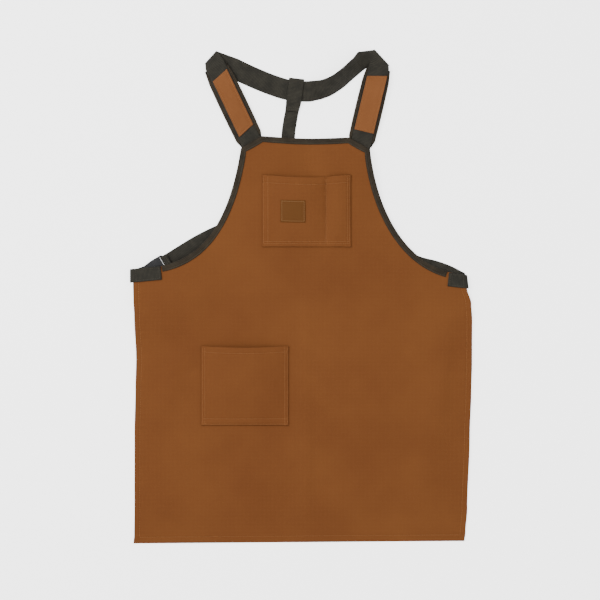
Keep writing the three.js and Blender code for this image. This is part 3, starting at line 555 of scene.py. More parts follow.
# Finishes. Tones are read off lit cloth, so the base colours lie a little under what the eye gets.
finish = {
    # brown duck: warm mid brown, dry, faintly mottled
    "duck": duckCanvas("brown cotton duck", {"light": "#86562f", "body": "#643a19", "dark": "#5c3315", "turn": 0,
        "perMetre": 126.0, "cloudScale": 6.0, "yarnContrast": 0.5, "bump": 0.35, "sheen": 0.02}),
    # pad canvas: the same duck as a copy with painted light, lighter all over where it stands up on the pad
    "litPadDuck": duckCanvas("brown duck on the pads", {"light": "#966540", "body": "#704424", "dark": "#673d1e",
        "turn": 26, "perMetre": 126.0, "cloudScale": 14.0, "yarnContrast": 0.5, "bump": 0.3, "sheen": 0.02}),
    # olive webbing: dark grey green with lighter ribs
    "web": ribbedWeb("woven polypropylene webbing", {"roughness": 0.78, "sheen": 0.02, "light": "#35322a",
        "body": "#22201a", "dark": "#171611", "ribs": 126.0, "threads": 180.0, "bump": 0.5}),
    # binding: the same yarn in a thinner tape, a shade browner
    "tape": ribbedWeb("woven binding tape", {"roughness": 0.82, "sheen": 0.02, "light": "#383023",
        "body": "#251f16", "dark": "#1a150d", "ribs": 157.0, "threads": 200.0, "bump": 0.35}),
}


def plainFinish(name, shade, roughness, ior, gloss, grain=0.0, grainScale=900.0):
    material, tree, shader = newMaterial(name, roughness, ior, gloss)
    shader.inputs["Base Color"].default_value = colour(shade)
    if grain:
        place = addNode(tree, "ShaderNodeTexCoord").outputs["Object"]
        specks = addNode(tree, "ShaderNodeTexNoise", {"Scale": grainScale, "Detail": 3.0}, Vector=place)
        addBump(tree, shader, grain, 0.0002, specks.outputs["Fac"])
    return material


# pad shell: the same dark cloth, seen only at the pads' ends
finish["tapeFlat"] = plainFinish("dark pad cloth", "#1f1c16", 0.9, 1.46, 0.2, 0.4, 700.0)
# sewing thread: a light brown line on the canvas, a dark one on webbing
finish["thread"] = plainFinish("tan sewing thread", thread["shade"], 0.7, 1.5, 0.25)
finish["darkThread"] = plainFinish("dark sewing thread", thread["darkShade"], 0.7, 1.5, 0.25)
finish["paleThread"] = plainFinish("pale sewing thread", "#8a6440", 0.7, 1.5, 0.25)
# label: smooth brown leather, a little glossier than the canvas, with a fine pebble
finish["leather"] = plainFinish("brown leather patch", "#54320f", 0.72, 1.5, 0.15, 0.35, 1300.0)
# buckle: moulded acetal, near black with a fine spark-eroded grain
finish["acetal"] = plainFinish("black moulded acetal", "#0d0d0f", 0.5, 1.48, 0.3, 0.25)


def dress(piece, material, node):
    piece.data.materials.append(material)
    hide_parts(node)
    return piece


# The panel: rows run from outline to outline, columns lie close together along the side hems.
hemColumns = np.array([0, 0.9, 2.2, 4, 6, 8, 9.3, 10, 10.7, 12, 14, 17.5]) / apron["panelWidth"]
columnShares = np.concatenate([hemColumns, np.linspace(22 / apron["panelWidth"], 1 - 22 / apron["panelWidth"], 122),
                               1 - hemColumns[::-1]])
stitchIn = {"side": 9.3, "bottom": 11.0}
sideHemRise, bottomHemPucker = 0.35, 0.5  # the side hem's step, and how strongly the bottom hem draws up


def panelGrid():
    rowCount = len(leftOutline)
    share = columnShares[None, :, None]
    grid = leftOutline[:, None, :] * (1 - share) + rightOutline[:, None, :] * share
    nearTop = np.clip((np.arange(rowCount) - cutRow) / cutSteps, 0, 1)[:, None]
    grid[:, :, 1] -= apron["bibTopDip"] * np.sin(np.pi * columnShares)[None, :] * nearTop
    x, y = grid[:, :, 0], grid[:, :, 1]
    grid[:, :, 2] = clothHeight(x, y)
    fromHem = y - mix(hemLeft[1], hemRight[1], columnShares)[None, :]
    below = smooth(leftOutline[:, 1], waistLeft[1], waistLeft[1] - 20) * (np.arange(rowCount) <= waistRow)
    below = below[:, None]
    for outline in (leftOutline, rightOutline):
        fromSide = np.abs(x - outline[:, 0][:, None])
        inSide = fromSide - stitchIn["side"]
        grid[:, :, 2] += below * (groove(inSide) + puckers(y, inSide) + sideHemRise * smooth(fromSide, 9.4, 8.2))
    inBottom = fromHem - stitchIn["bottom"]
    grid[:, :, 2] += groove(inBottom) + bottomHemPucker * puckers(x, inBottom, 7) * smooth(fromHem, 2, 8)
    return grid


def panelLower(upper):
    rowCount, columnCount = upper.shape[:2]
    sideHem = apron["sideHem"] / apron["panelWidth"] + 1e-4
    inHem = np.zeros((rowCount, columnCount), bool)
    inHem[:waistRow + 1, :] = (columnShares < sideHem) | (columnShares > 1 - sideHem)
    inHem |= (upper[:, :, 1] - mix(hemLeft[1], hemRight[1], columnShares)[None, :]) < apron["bottomHem"]
    lower = upper.copy()
    lower[:, :, 2] -= canvas * np.where(inHem, apron["hemLayers"], 1.0)
    lower[:, :, 2] = np.maximum(lower[:, :, 2], apron["floorRoom"])
    return lower


print("canvas_panel")
upper = panelGrid()
panel = dress(clothSolid("canvas_panel", upper, panelLower(upper)), finish["duck"], "canvas_panel")

# Pocket fronts: sewn at the sides and foot, standing off the panel at the mouth, with turned edges
toolPocket["seam"] = {"leftLines": (2.0, 6.5), "rightLines": (2.0, 6.5), "bottomLines": (2.0, 12.0),
                      "mouthLine": 10.5}
bibPocket["seam"] = {"leftLines": (1.6, 10.0), "rightLines": (2.0, 6.2), "bottomLines": (5.5, 9.6),
                     "mouthLine": 13.5}
turnedEdge = {"height": 0.45, "slope": 1.6, "beyondSeam": 2}
seamPucker = {"reach": 6, "pitch": 10, "height": 0.2}
mouthPucker = {"reach": 6, "pitch": 11, "height": 0.25}
lineEnds = 2  # how far lines of stitching stay from a pocket's edges
division = {"width": 1.4, "depth": 0.5, "startsBelow": 3, "line": 0.008, "from": 0.03, "to": 0.95}


def chamber(share):
    return np.sin(np.pi * np.clip(share, 0, 1)) ** 0.8


def penChambers(across):
    seam = bibPocket["penSeam"]
    return np.where(across < seam, chamber(across / seam),
                    bibPocket["penBulge"] * chamber((across - seam) / (1 - seam)))


def pocketSurface(pocket, bulgeAt):
    def surface(across, down):
        across, down = np.asarray(across, float), np.asarray(down, float)
        x = pocket["left"] + pocket["width"] * across
        y = (pocket["top"] - pocket["mouthDip"] * np.sin(np.pi * across) * (1 - down)
             - pocket["height"] * down)
        stand = pocket["bulge"] * bulgeAt(across) * np.cos(np.pi / 2 * down) ** 0.7
        z = clothHeight(x, y) + apron["clearance"] + stand
        return np.stack([x + 0 * z, y + 0 * z, z], axis=-1)
    return surface


toolPocket["surface"] = pocketSurface(toolPocket, chamber)
bibPocket["surface"] = pocketSurface(bibPocket, penChambers)


# Lines of stitching on a pocket, each as (across, down) shares
def pocketLines(pocket):
    w, h, seam = pocket["width"], pocket["height"], pocket["seam"]
    foot, left, right = 1 - seam["bottomLines"][0] / h, seam["leftLines"][0] / w, 1 - seam["rightLines"][0] / w
    uprights = [d / w for d in seam["leftLines"]] + [1 - d / w for d in seam["rightLines"]]
    return ([[(at, lineEnds / h), (at, foot)] for at in uprights]
            + [[(left, 1 - d / h), (right, 1 - d / h)] for d in seam["bottomLines"]]
            + [[(lineEnds / w, seam["mouthLine"] / h), (1 - lineEnds / w, seam["mouthLine"] / h)]])


def pocketDetail(pocket, across, down):
    w, h, seam = pocket["width"], pocket["height"], pocket["seam"]
    across, down = np.broadcast_arrays(across, down)
    total = np.zeros(across.shape)
    fromLeft, fromRight, fromTop, fromBottom = across * w, (1 - across) * w, down * h, (1 - down) * h
    turnedIn = max(seam["leftLines"]) + turnedEdge["beyondSeam"]
    for distance, reach in ((fromLeft, turnedIn), (fromRight, turnedIn), (fromBottom, turnedIn),
                            (fromTop, seam["mouthLine"] + 1)):
        total += turnedEdge["height"] * smooth(distance, reach, reach - turnedEdge["slope"])
    for lines, distance, along in (("leftLines", fromLeft, fromTop), ("rightLines", fromRight, fromTop),
                                   ("bottomLines", fromBottom, fromLeft)):
        for d in seam[lines]:
            total += groove(distance - d) + puckers(along, distance - d, **seamPucker)
    fromLine = fromTop - seam["mouthLine"]
    total += groove(fromLine) + puckers(fromLeft, fromLine, **mouthPucker)
    return total + turnedEdge["height"]


meshStep = 2.4


# shares that lie close together at the edges and along the seams
def closeShares(size, step, lines):
    fine = [0, 0.5, 1.2] + [line + offset for line in lines for offset in (-1.1, -0.5, 0, 0.5, 1.1)]
    coarse = np.arange(step, size - 2, step)
    kept = [c for c in coarse if all(abs(c - f) > step * 0.35 for f in fine)]
    values = np.array(sorted(set(fine + kept + [size - 1.2, size - 0.5, size])))
    return values[(values >= 0) & (values <= size)] / size


def pocketFront(name, pocket, divisions=()):
    w, h, seam = pocket["width"], pocket["height"], pocket["seam"]
    acrossLines = list(seam["leftLines"]) + [w - d for d in seam["rightLines"]] + [share * w for share in divisions]
    downLines = [seam["mouthLine"]] + [h - d for d in seam["bottomLines"]]
    across = closeShares(w, meshStep, acrossLines)[None, :]
    down = closeShares(h, meshStep, downLines)[:, None]
    lower = pocket["surface"](across, down)
    detail = pocketDetail(pocket, across, down)
    for share in divisions:
        pressed = groove((across - share) * w, division["width"], division["depth"])
        detail = detail + pressed * smooth(down * h, 0, division["startsBelow"])
    return dress(clothSolid(name, lower + up * (canvas + detail)[:, :, None], lower), finish["duck"], name)


def onPocket(pocket, line):
    points = evenly([(a, d, 0) for a, d in line], 90)
    placed = pocket["surface"](points[:, 0], points[:, 1])
    detail = pocketDetail(pocket, points[:, 0], points[:, 1])
    return placed + up * (canvas + np.maximum(detail, 0) + 0.05)[:, None]


print("pockets")
penSeam = bibPocket["penSeam"]
toolFront = pocketFront("tool_pocket", toolPocket)
bibFront = pocketFront("bib_pocket", bibPocket, (penSeam,))


# The place along and across a strap goes with each of its vertices, for the weave.
def carryWeave(piece, along, across, rolled):
    weave = np.stack([np.broadcast_to(along[:, None], across.shape), across, np.zeros(across.shape)], axis=-1)
    faces = [weave.reshape(-1, 3)] * 2
    if rolled:
        faces.append(np.vstack([weave[0], weave[1:, -1], weave[-1, -2::-1], weave[-2:0:-1, 0]]))
    attribute = piece.data.attributes.new("weave", "FLOAT_VECTOR", "POINT")
    attribute.data.foreach_set("vector", (np.vstack(faces) * mm).ravel())


webEdge = {"thin": 0.62, "power": 6}  # a strap's edge as a share of its thickness, and how late it thins


# Webbing: rows of two edge points, filled in smoothly, given a woven thickness with soft edges
def ribbon(name, rows, columns=12, between=5):
    rows = np.asarray(rows, float)
    count = (len(rows) - 1) * between + 1
    left, right = spline(rows[:, 0], count), spline(rows[:, 1], count)
    share = (1 - np.cos(np.linspace(0, np.pi, columns))) / 2
    grid = left[:, None, :] * (1 - share)[None, :, None] + right[:, None, :] * share[None, :, None]
    ahead = np.gradient(grid, axis=0)
    sideways = np.gradient(grid, axis=1)
    normal = np.cross(ahead, sideways)
    normal /= np.maximum(np.linalg.norm(normal, axis=2, keepdims=True), 1e-9)
    edge = mix(webEdge["thin"], 1, np.sqrt(np.clip(1 - np.abs(2 * share - 1) ** webEdge["power"], 0, 1)))
    half = (webbing / 2 * edge)[None, :, None]
    upperGrid = grid + normal * half
    piece = clothSolid(name, upperGrid, grid - normal * half)
    along = lengthsAlong(grid.mean(axis=1))
    width = np.linalg.norm(right - left, axis=1)
    carryWeave(piece, along, (share[None, :] - 0.5) * width[:, None], True)
    return dress(piece, finish["web"], name), upperGrid, along


def across(centre, heading, width):
    side = turned(heading + 90) * width / 2
    return [centre + side, centre - side]


def foldRows(start, creaseHeading, outwardHeading, length, drop):
    radius = drop / 2
    rows = []
    for angle in np.linspace(0, np.pi, 7):
        centre = start + turned(outwardHeading) * abs(radius) * math.sin(angle) + up * radius * (math.cos(angle) - 1)
        half = turned(creaseHeading) * length / 2
        rows.append([centre + half, centre - half])
    return rows


padShares = [0, 0.05, 0.1, 0.2, 0.3, 0.45, 0.6, 0.7, 0.8, 0.9, 0.96, 1]
yokeHeight = webbing / 2
yokeBridges = (5, 4)  # rows of the route that are left to the bridges from the folds, at its start and end
yokeOverCentre = (0.05, 0.15)  # how far beside the centre strap the yoke lies over it, and is down again


def padBase(share):
    return mix(padFoot, padHead, smooth(share, 0.1, 0.8))


def padTop(share):
    return padBase(share) + apron["padThickness"]


def shoulderRows(side):
    shape = padShapes[side]
    run = [-apron["underBib"], 0, *[s * shape["length"] for s in padShares[2:-1]], shape["length"] + 2]
    rows = []
    for a in run:
        share = min(max(a / shape["length"], 0), 1)
        z = padTop(share) + layer(webbing) - webbing / 2
        rows.append(across(padAt[side](a, 0, z), shape["heading"], apron["harnessWidth"]))
    turn = shape["crease"] - shape["heading"]
    length = shape["gather"] * apron["harnessWidth"] / abs(math.sin(math.radians(turn)))
    hand = math.copysign(1, math.sin(math.radians(turn)))
    heading = shape["crease"] + (360 if hand > 0 else 180)
    start = crease[side] + up * (yokeHeight + layer(webbing))
    return rows, foldRows(start, heading, shape["crease"] - 90 * hand, length, layer(webbing))


def harnessRows():
    leftRows, leftFold = shoulderRows("left")
    rightRows, rightFold = shoulderRows("right")
    points = routePoints(crease["left"], crease["right"], yokeRoute, -1, 41)
    rolls = [(0, 0, 0), *yokeRoute, (1, 0, 0)]
    span = crease["right"] - crease["left"]
    yoke = []
    for i in range(yokeBridges[0], len(points) - yokeBridges[1]):
        share = (points[i][0] - crease["left"][0]) / span[0]
        roll = math.radians(tableAt(rolls, share, 2))
        direction = points[i + 1] - points[i - 1]
        side = np.cross(up, direction / np.linalg.norm(direction))
        half = (side * math.cos(roll) + up * math.sin(roll)) * apron["harnessWidth"] / 2
        lowered = smooth(abs(share - centreOnYoke), *yokeOverCentre)
        height = mix(yokeHeight + layer(webbing), yokeHeight, lowered) + math.sin(roll) * apron["harnessWidth"] / 2
        centre = point(points[i][0], points[i][1], height)
        yoke.append([centre + half, centre - half])

    def bridge(a, b):
        return [[mix(a[0], b[0], share), mix(a[1], b[1], share)] for share in (0.15, 0.35, 0.6, 0.85)]

    leftTurned = [[inner, outer] for outer, inner in leftRows + leftFold]
    return (leftTurned + bridge(leftTurned[-1], yoke[0]) + yoke + bridge(yoke[-1], rightFold[-1])
            + rightFold[::-1] + rightRows[::-1])


def centreRows():
    span = (waistCrossing - yokeCrossing) * (1, 1, 0)
    length = np.linalg.norm(span)
    direction = span / length
    heading = headingOf(direction)
    low = webbing / 2
    middle, high = low + layer(webbing), low + 2 * layer(webbing)
    bend = (high - low) / 2

    def loopEnd(halfWidth):
        edge = halfWidth + apron["clearance"] + apron["loopRoom"]
        turn = [(-edge - bend * math.sin(t), middle + bend * math.cos(t)) for t in np.linspace(0, np.pi, 9)]
        return [(edge + apron["loopTail"], middle), (edge + apron["loopRamp"], middle), (edge, high), (0, high),
                *turn, (0, low), (edge, low)]

    top = loopEnd(apron["harnessWidth"] / 2)
    foot = [(length - a, z) for a, z in loopEnd(apron["strapWidth"] / 2 + 1)][::-1]
    hanging = [(top[-1][0] + reach, low) for reach in centreSlack["rowsAt"]]
    sideways = turned(heading - 90)
    rows = []
    for a, z in top + hanging + foot:
        width = apron["strapWidth"] * mix(centreSlack["loopWidth"], 1, smooth(a, *centreSlack["narrowing"]))
        lean = centreSlack["lean"] * math.exp(-((a - centreSlack["leanAt"]) / centreSlack["leanOver"]) ** 2)
        rows.append(across(point(*(yokeCrossing + direction * a + sideways * lean)[:2], z), heading, width))
    return rows


tabHeading = {"left": 5.5, "right": -6.5}
tabRoom = 0.35  # over the stitched hem under a tab


def tabRows(edge, side):
    heading = tabHeading[side]
    inward = turned(heading if side == "left" else 180 + heading)
    sideways = turned(heading + 90)
    half = webbing / 2
    rows = []
    for share in (1, 0.66, 0.33):
        row = []
        for hand in (1, -1):
            at = edge + inward * share * apron["tabOverlap"][side] + sideways * hand * apron["strapWidth"] / 2
            row.append(point(at[0], at[1], clothHeight(at[0], at[1]) + apron["clearance"] + half + tabRoom))
        rows.append(row)
    radius = canvas + apron["clearance"] + half
    for angle in np.linspace(0, np.pi, 7):
        row = []
        for hand in (1, -1):
            at = reaching(leftOutline if side == "left" else rightOutline, 1,
                          edge[1] + hand * sideways[1] * apron["strapWidth"] / 2)
            axis = clothHeight(at[0], at[1]) - canvas
            at = at - inward * ((radius + apron["tabSlack"][side]) * math.sin(angle) + apron["clearance"])
            row.append(point(at[0], at[1], axis + radius * math.cos(angle)))
        rows.append(row)
    return rows


def barLoop(bar, heading, tailUp):
    radius = buckle["bar"] * math.sqrt(0.5) + layer(webbing / 2)
    middle = buckle["thickness"] / 2
    sign = 1 if tailUp else -1
    turn = [(-radius * math.sin(t), middle + sign * radius * math.cos(t)) for t in np.linspace(0, np.pi, 9)]
    return [across(point(*(bar + turned(heading) * a)[:2], z), heading, apron["strapWidth"])
            for a, z in [(apron["barTail"], middle + sign * radius), *turn]]


def waistRows():
    loop = barLoop(plugBar, buckle["heading"], True)
    points = routePoints(plugBar, rightTabEdge, waistRoute, 1, 37)
    low = webbing / 2
    run = []
    for i in range(2, len(points) - 1):
        at, heading = points[i], headingOf(points[i + 1] - points[i - 1])
        away = math.hypot(at[0] - waistCrossing[0], at[1] - waistCrossing[1])
        near = 1 - smooth(away, 0.7 * apron["strapWidth"], 1.8 * apron["strapWidth"])
        ends = restHeight(at[0], at[1]) - canvas - apron["clearance"] - low
        atEdge = 1 - smooth(rightTabEdge[0] - at[0], 0.5 * apron["strapWidth"], 2.4 * apron["strapWidth"])
        z = mix(low + near * layer(webbing), max(ends, low), atEdge)
        run.append(across(point(at[0], at[1], z), heading, apron["strapWidth"]))
    return loop + run + tabRows(rightTabEdge, "right")[::-1]


def leftTabRows():
    loop = [[b, a] for a, b in barLoop(socketBar, buckle["heading"] + 180, False)[::-1]]
    return tabRows(leftTabEdge, "left") + loop


print("webbing")
harness = ribbon("harness_webbing", harnessRows(), 18, 6)[0]
centre, centreTop, centreAlong = ribbon("centre_strap", centreRows())
waist, waistTop, waistAlong = ribbon("waist_strap", waistRows())
tab, tabTop, tabAlong = ribbon("left_tab", leftTabRows())


tapeForm = {"swell": 0.22, "dip": 0.2, "rounded": 0.35}  # between the seam and the fold, at the seam, at its end


# A tape folded round an edge: outer and inner line of its section, from the front leg's end to the back leg's
def foldedTape(name, edges, inwards, middles, edgeThickness, widths, room, stitchFrom):
    tapeOuter, tapeInner = [], []
    for edge, inward, middleAt, width in zip(edges, inwards, middles, widths):
        for line, off, grow in ((tapeOuter, room + tape, 1), (tapeInner, room, 0)):
            section = []
            high = edgeThickness / 2 + off
            for reach in (width, width - 0.9, width - stitchFrom, width * 0.5, width * 0.25, 0):
                swell = tapeForm["swell"] * math.sin(math.pi * min(max(reach / width, 0), 1)) * grow
                dip = tapeForm["dip"] * grow if reach == width - stitchFrom else 0
                end = tapeForm["rounded"] * grow if reach == width else 0
                section.append((reach, high + swell - dip - end))
            for angle in np.linspace(70, -70, 7):
                a = math.radians(angle)
                section.append((-off * math.cos(a), high * math.sin(a)))
            section += [(reach, -high) for reach in (0, width * 0.5, width)]
            row = []
            for reach, z in section:
                at = edge + inward * reach
                base = middleAt(edge + inward * max(reach, 0))
                row.append(point(at[0], at[1], max(base + z, 0.02 + (0 if grow else 0.5 * tape))))
            line.append(row)
    outer, inner = np.array(tapeOuter), np.array(tapeInner)
    piece = clothSolid(name, outer, inner, rolledEdge=0)
    girth = np.linspace(0, 2.4 * widths[0], outer.shape[1])  # about the section's length round the edge
    carryWeave(piece, lengthsAlong(outer.mean(axis=1)), np.broadcast_to(girth, outer.shape[:2]), False)
    return dress(piece, finish["tape"], name), outer


def inwardsOf(path):
    ahead = np.gradient(path * (1, 1, 0), axis=0)
    ahead /= np.linalg.norm(ahead, axis=1, keepdims=True)
    return np.cross(ahead, up)


# Directions that turn over some steps instead of all at once, as tape does round a corner
def easedTurns(directions, steps):
    weights = np.exp(-(np.arange(-3 * steps, 3 * steps + 1) / steps) ** 2 / 2)
    padded = np.pad(directions, ((3 * steps, 3 * steps), (0, 0)), mode="edge")
    eased = np.stack([np.convolve(padded[:, i], weights / weights.sum(), mode="valid") for i in range(3)], axis=1)
    return eased / np.linalg.norm(eased, axis=1, keepdims=True)


print("binding and pads")


def armholeBeyondTab(outline, side):
    armhole = outline[waistRow:]
    fromCorner = np.abs(armhole[:, 0] - armhole[0, 0])
    reach = apron["tabOverlap"][side] + 2 * apron["clearance"]
    start = int(np.argmax(fromCorner > reach))
    share = (reach - fromCorner[start - 1]) / (fromCorner[start] - fromCorner[start - 1])
    return np.vstack([mix(armhole[start - 1], armhole[start], share), armhole[start + (share > 0.7):]])


topEdge = panelGrid()[-1][3:-3:3]
bindingPath = np.vstack([armholeBeyondTab(leftOutline, "left"), topEdge,
                         armholeBeyondTab(rightOutline, "right")[::-1]]) * (1, 1, 0)
bindingSteps, cornerSteps = 360, 7
bindingPath = evenly(bindingPath, bindingSteps)
bindingInwards = easedTurns(inwardsOf(bindingPath), cornerSteps)
bindingRoom = 0.46
stitchFromTapeEdge = {"binding": 1.8, "pad": 1.5}
binding, bindingOuter = foldedTape(
    "edge_binding", bindingPath, bindingInwards,
    [lambda q: float(clothHeight(q[0], q[1])) - canvas / 2] * bindingSteps, canvas,
    [apron["bindingWidth"]] * bindingSteps, bindingRoom, stitchFromTapeEdge["binding"])


def padWidthAt(share):
    return apron["padWidth"] * tableAt(padTaper, share)


padRows, padColumns, padEndThin = 70, 22, 0.75


def padCore(side):
    shape, place = padShapes[side], padAt[side]
    grids = []
    for face in (1, -1):
        grid = []
        for share in np.linspace(0, 1, padRows):
            half = padWidthAt(share) / 2 - layer(tape)
            row = []
            for b in np.linspace(-1, 1, padColumns):
                soft = mix(apron["padEdge"], apron["padThickness"], (1 - abs(b) ** 4)) / 2
                ends = float(smooth(min(share, 1 - share), -0.002, 0.02))
                row.append(place(share * shape["length"], b * half,
                                 padBase(share) + apron["padThickness"] / 2 + face * soft * mix(padEndThin, 1, ends)))
            grid.append(row)
        grids.append(np.array(grid))
    return clothSolid(f"{side}_pad_core", grids[0], grids[1])


padTapeOuter = {}


def padTape(side, hand, name):
    shape, place = padShapes[side], padAt[side]
    shares = np.linspace(0.05, 0.96, 90)
    edges = [place(s * shape["length"], hand * (padWidthAt(s) / 2 - layer(tape))) for s in shares]
    across = turned(shape["heading"] - 90)
    middles = [lambda q, s=s: float(padBase(s)) + apron["padThickness"] / 2 for s in shares]
    rooms = [padWidthAt(s) / 2 - layer(tape) - apron["harnessWidth"] / 2 - apron["clearance"] for s in shares]
    piece, outer = foldedTape(name, edges, [across * -hand] * len(shares), middles, apron["padThickness"],
                              [min(apron["padTapeWidth"], r) for r in rooms], apron["clearance"],
                              stitchFromTapeEdge["pad"])
    padTapeOuter[side, hand] = outer
    return piece


insertTop = {}
insert = {"seamIn": 2.6, "hem": 0.5, "crown": 0.9, "wave": 0.5, "seed": {"left": 3, "right": 9}}


def padInsert(side):
    shape, place = padShapes[side], padAt[side]
    slope = {k: math.tan(math.radians(shape[k])) for k in ("footSlant", "headSlant")}
    lower, upperGrid = [], []
    ends = [0, 0.004, 0.012, 0.02, 0.03]
    lengthShares = np.concatenate([ends, np.linspace(0.05, 0.95, 74), 1 - np.array(ends[::-1])])
    sides = [0.8, 0.86, 0.94, 0.98, 1]
    widthShares = np.concatenate([-np.array(sides[::-1]), np.linspace(-0.7, 0.7, 18), sides])
    length = (shape["head"] - shape["foot"]) * shape["length"]
    for i in lengthShares:
        lowRow, highRow = [], []
        for j in widthShares:
            b = j * shape["width"] / 2
            a = mix(shape["foot"] * shape["length"] + b * slope["footSlant"],
                    shape["head"] * shape["length"] + b * slope["headSlant"], i)
            z = padTop(a / shape["length"]) + apron["clearance"] + layer(webbing)
            inset = min(min(i, 1 - i) * length, (1 - abs(j)) * shape["width"] / 2)
            fromSeam = inset - insert["seamIn"]
            swell = (insert["hem"] * smooth(inset, 5.0, 3.6) + insert["crown"] * smooth(inset, 2.5, 9)
                     + groove(fromSeam, 0.9, 0.5))
            wave = insert["wave"] * noise.noise(Vector((a / 21, b / 17, insert["seed"][side])))
            swell += wave + puckers(a + b, fromSeam, 5, 9, 0.2)
            lowRow.append(place(a, b + shape["shift"], z))
            highRow.append(place(a, b + shape["shift"], z + canvas + max(float(swell), -0.5)))
        lower.append(lowRow)
        upperGrid.append(highRow)
    insertTop[side] = np.array(upperGrid)
    return clothSolid(f"{side}_pad_canvas", np.array(upperGrid), np.array(lower))


padPieces, padTapes = {}, []
for side in ("left", "right"):
    inner = 1 if side == "left" else -1
    padPieces[side] = dress(padCore(side), finish["tapeFlat"], f"{side}_pad")
    for hand, place in ((inner, "inner"), (-inner, "outer")):
        padTapes.append(padTape(side, hand, f"{side}_pad_{place}_tape"))
    # the pad canvas gets the copy of the duck with painted light, lighter all over
    padPieces[side + "Canvas"] = dress(padInsert(side), finish["litPadDuck"], f"{side}_pad_canvas")


# The label: a bare leather patch with a pressed border line, sewn on all round
def labelPatch():
    across = np.linspace(0, label["width"], 64)
    down = np.linspace(0, label["height"], 60)
    a = (label["fromLeft"] + across[None, :]) / bibPocket["width"]
    d = (label["fromTop"] + down[:, None]) / bibPocket["height"]
    base = bibPocket["surface"](a, d) + up * (canvas + label["lift"])
    inset = np.minimum(np.minimum(across[None, :], label["width"] - across[None, :]),
                       np.minimum(down[:, None], label["height"] - down[:, None]))
    rise = (label["thickness"] - label["roundedBy"] * (1 - smooth(inset, 0, 1.4))
            + groove(inset - label["stitchedAt"], 0.8, 0.3) + groove(inset - label["pressedAt"], 0.7, 0.35))
    return clothSolid("label_patch", base + up * rise[:, :, None], base - up * label["sunk"])


print("label and buckle")
patch = dress(labelPatch(), finish["leather"], "label_patch")


# The buckle: plates and cuts, then softened edges. Both halves lie along X and are turned to their heading.
def prism(outline, low, high):
    bm = bmesh.new()
    bottom = [bm.verts.new((x, y, low)) for x, y in outline]
    top = [bm.verts.new((x, y, high)) for x, y in outline]
    bm.faces.new(bottom[::-1])
    bm.faces.new(top)
    for i in range(len(outline)):
        j = (i + 1) % len(outline)
        bm.faces.new((bottom[i], bottom[j], top[j], top[i]))
    bmesh.ops.recalc_face_normals(bm, faces=bm.faces)
    mesh = bpy.data.meshes.new("plate")
    bm.to_mesh(mesh)
    bm.free()
    piece = bpy.data.objects.new("plate", mesh)
    bpy.context.scene.collection.objects.link(piece)
    return piece


def slab(x0, x1, width, low, high, y=0.0):
    return prism([(x0, y - width / 2), (x1, y - width / 2), (x1, y + width / 2), (x0, y + width / 2)], low, high)


def carved(name, body, changes, edge):
    for kind, tool in changes:
        modifier = body.modifiers.new(kind, "BOOLEAN")
        modifier.operation, modifier.object, modifier.solver = kind, tool, "EXACT"
    bevel = body.modifiers.new("edges", "BEVEL")
    bevel.width, bevel.segments, bevel.limit_method, bevel.angle_limit = edge, 3, "ANGLE", math.radians(35)
    solid = bpy.data.meshes.new_from_object(body.evaluated_get(bpy.context.evaluated_depsgraph_get()))
    angle = math.radians(buckle["heading"])
    turnBy = Matrix.Rotation(angle, 4, "Z")
    turnBy.translation = Vector(buckleMiddle)
    vertices = [tuple(turnBy @ v.co) for v in solid.vertices]
    piece = makeObject(name, vertices, [tuple(f.vertices) for f in solid.polygons])
    for _, tool in changes:
        bpy.data.objects.remove(tool)
    bpy.data.objects.remove(body)
    bpy.data.meshes.remove(solid)
    piece.data.set_sharp_from_angle(angle=math.radians(40))
    return piece


halfLong, halfWide, deep = buckle["length"] / 2, buckle["width"] / 2, buckle["thickness"]
mouth, endWide = halfLong * buckle["mouthShare"], halfWide * buckle["endShare"]
waistWide = halfWide * buckle["waistShare"]
slotTo = halfLong - buckle["bar"]
slotFrom = slotTo - buckle["slot"]
strapSlot = apron["strapWidth"] + 2 * apron["clearance"]
barThin = [(-1, (deep - buckle["bar"]) / 2), ((deep + buckle["bar"]) / 2, deep + 1)]
inside = (buckle["width"] - 3 * buckle["wall"] - 2) / 2
socketSide = [(-halfLong, endWide), (-slotFrom, halfWide), (-mouth * 2, waistWide), (mouth, halfWide)]
socketPlan = [(x, -y) for x, y in socketSide] + socketSide[::-1]
socketCuts = [slab(-slotFrom + buckle["wall"], mouth + 1, 2 * inside, buckle["wall"], deep - buckle["wall"]),
              slab(-slotTo, -slotFrom, strapSlot, -1, deep + 1)]
socketCuts += [slab(-halfLong - 1, -slotTo + 0.1, buckle["width"] + 2, *z) for z in barThin]
socketCuts += [slab(-halfLong * 0.3, halfLong * 0.06, 8, buckle["wall"], deep - buckle["wall"], side * halfWide)
               for side in (-1, 1)]
socket = dress(carved("buckle_socket", prism(socketPlan, 0, deep), [("DIFFERENCE", cut) for cut in socketCuts], 0.7),
               finish["acetal"], "buckle_socket")
plugStart = mouth + apron["clearance"]
plugSide = [(plugStart, halfWide), (slotTo, halfWide), (halfLong, endWide)]
plugPlan = [(x, -y) for x, y in plugSide] + plugSide[::-1]
plugChanges = [("DIFFERENCE", slab(slotFrom, slotTo, strapSlot, -1, deep + 1))]
plugChanges += [("DIFFERENCE", slab(slotTo - 0.1, halfLong + 1, buckle["width"] + 2, *z)) for z in barThin]
prongWide = buckle["width"] * buckle["prongShare"]
prongDeep = (buckle["wall"] + apron["clearance"], deep - buckle["wall"] - apron["clearance"])
plugChanges += [("UNION", slab(-halfLong * 0.35, plugStart + 1, prongWide, *prongDeep,
                               side * (inside - apron["clearance"] - prongWide / 2))) for side in (-1, 0, 1)]
plug = dress(carved("buckle_plug", prism(plugPlan, 0, deep), plugChanges, 0.5), finish["acetal"], "buckle_plug")


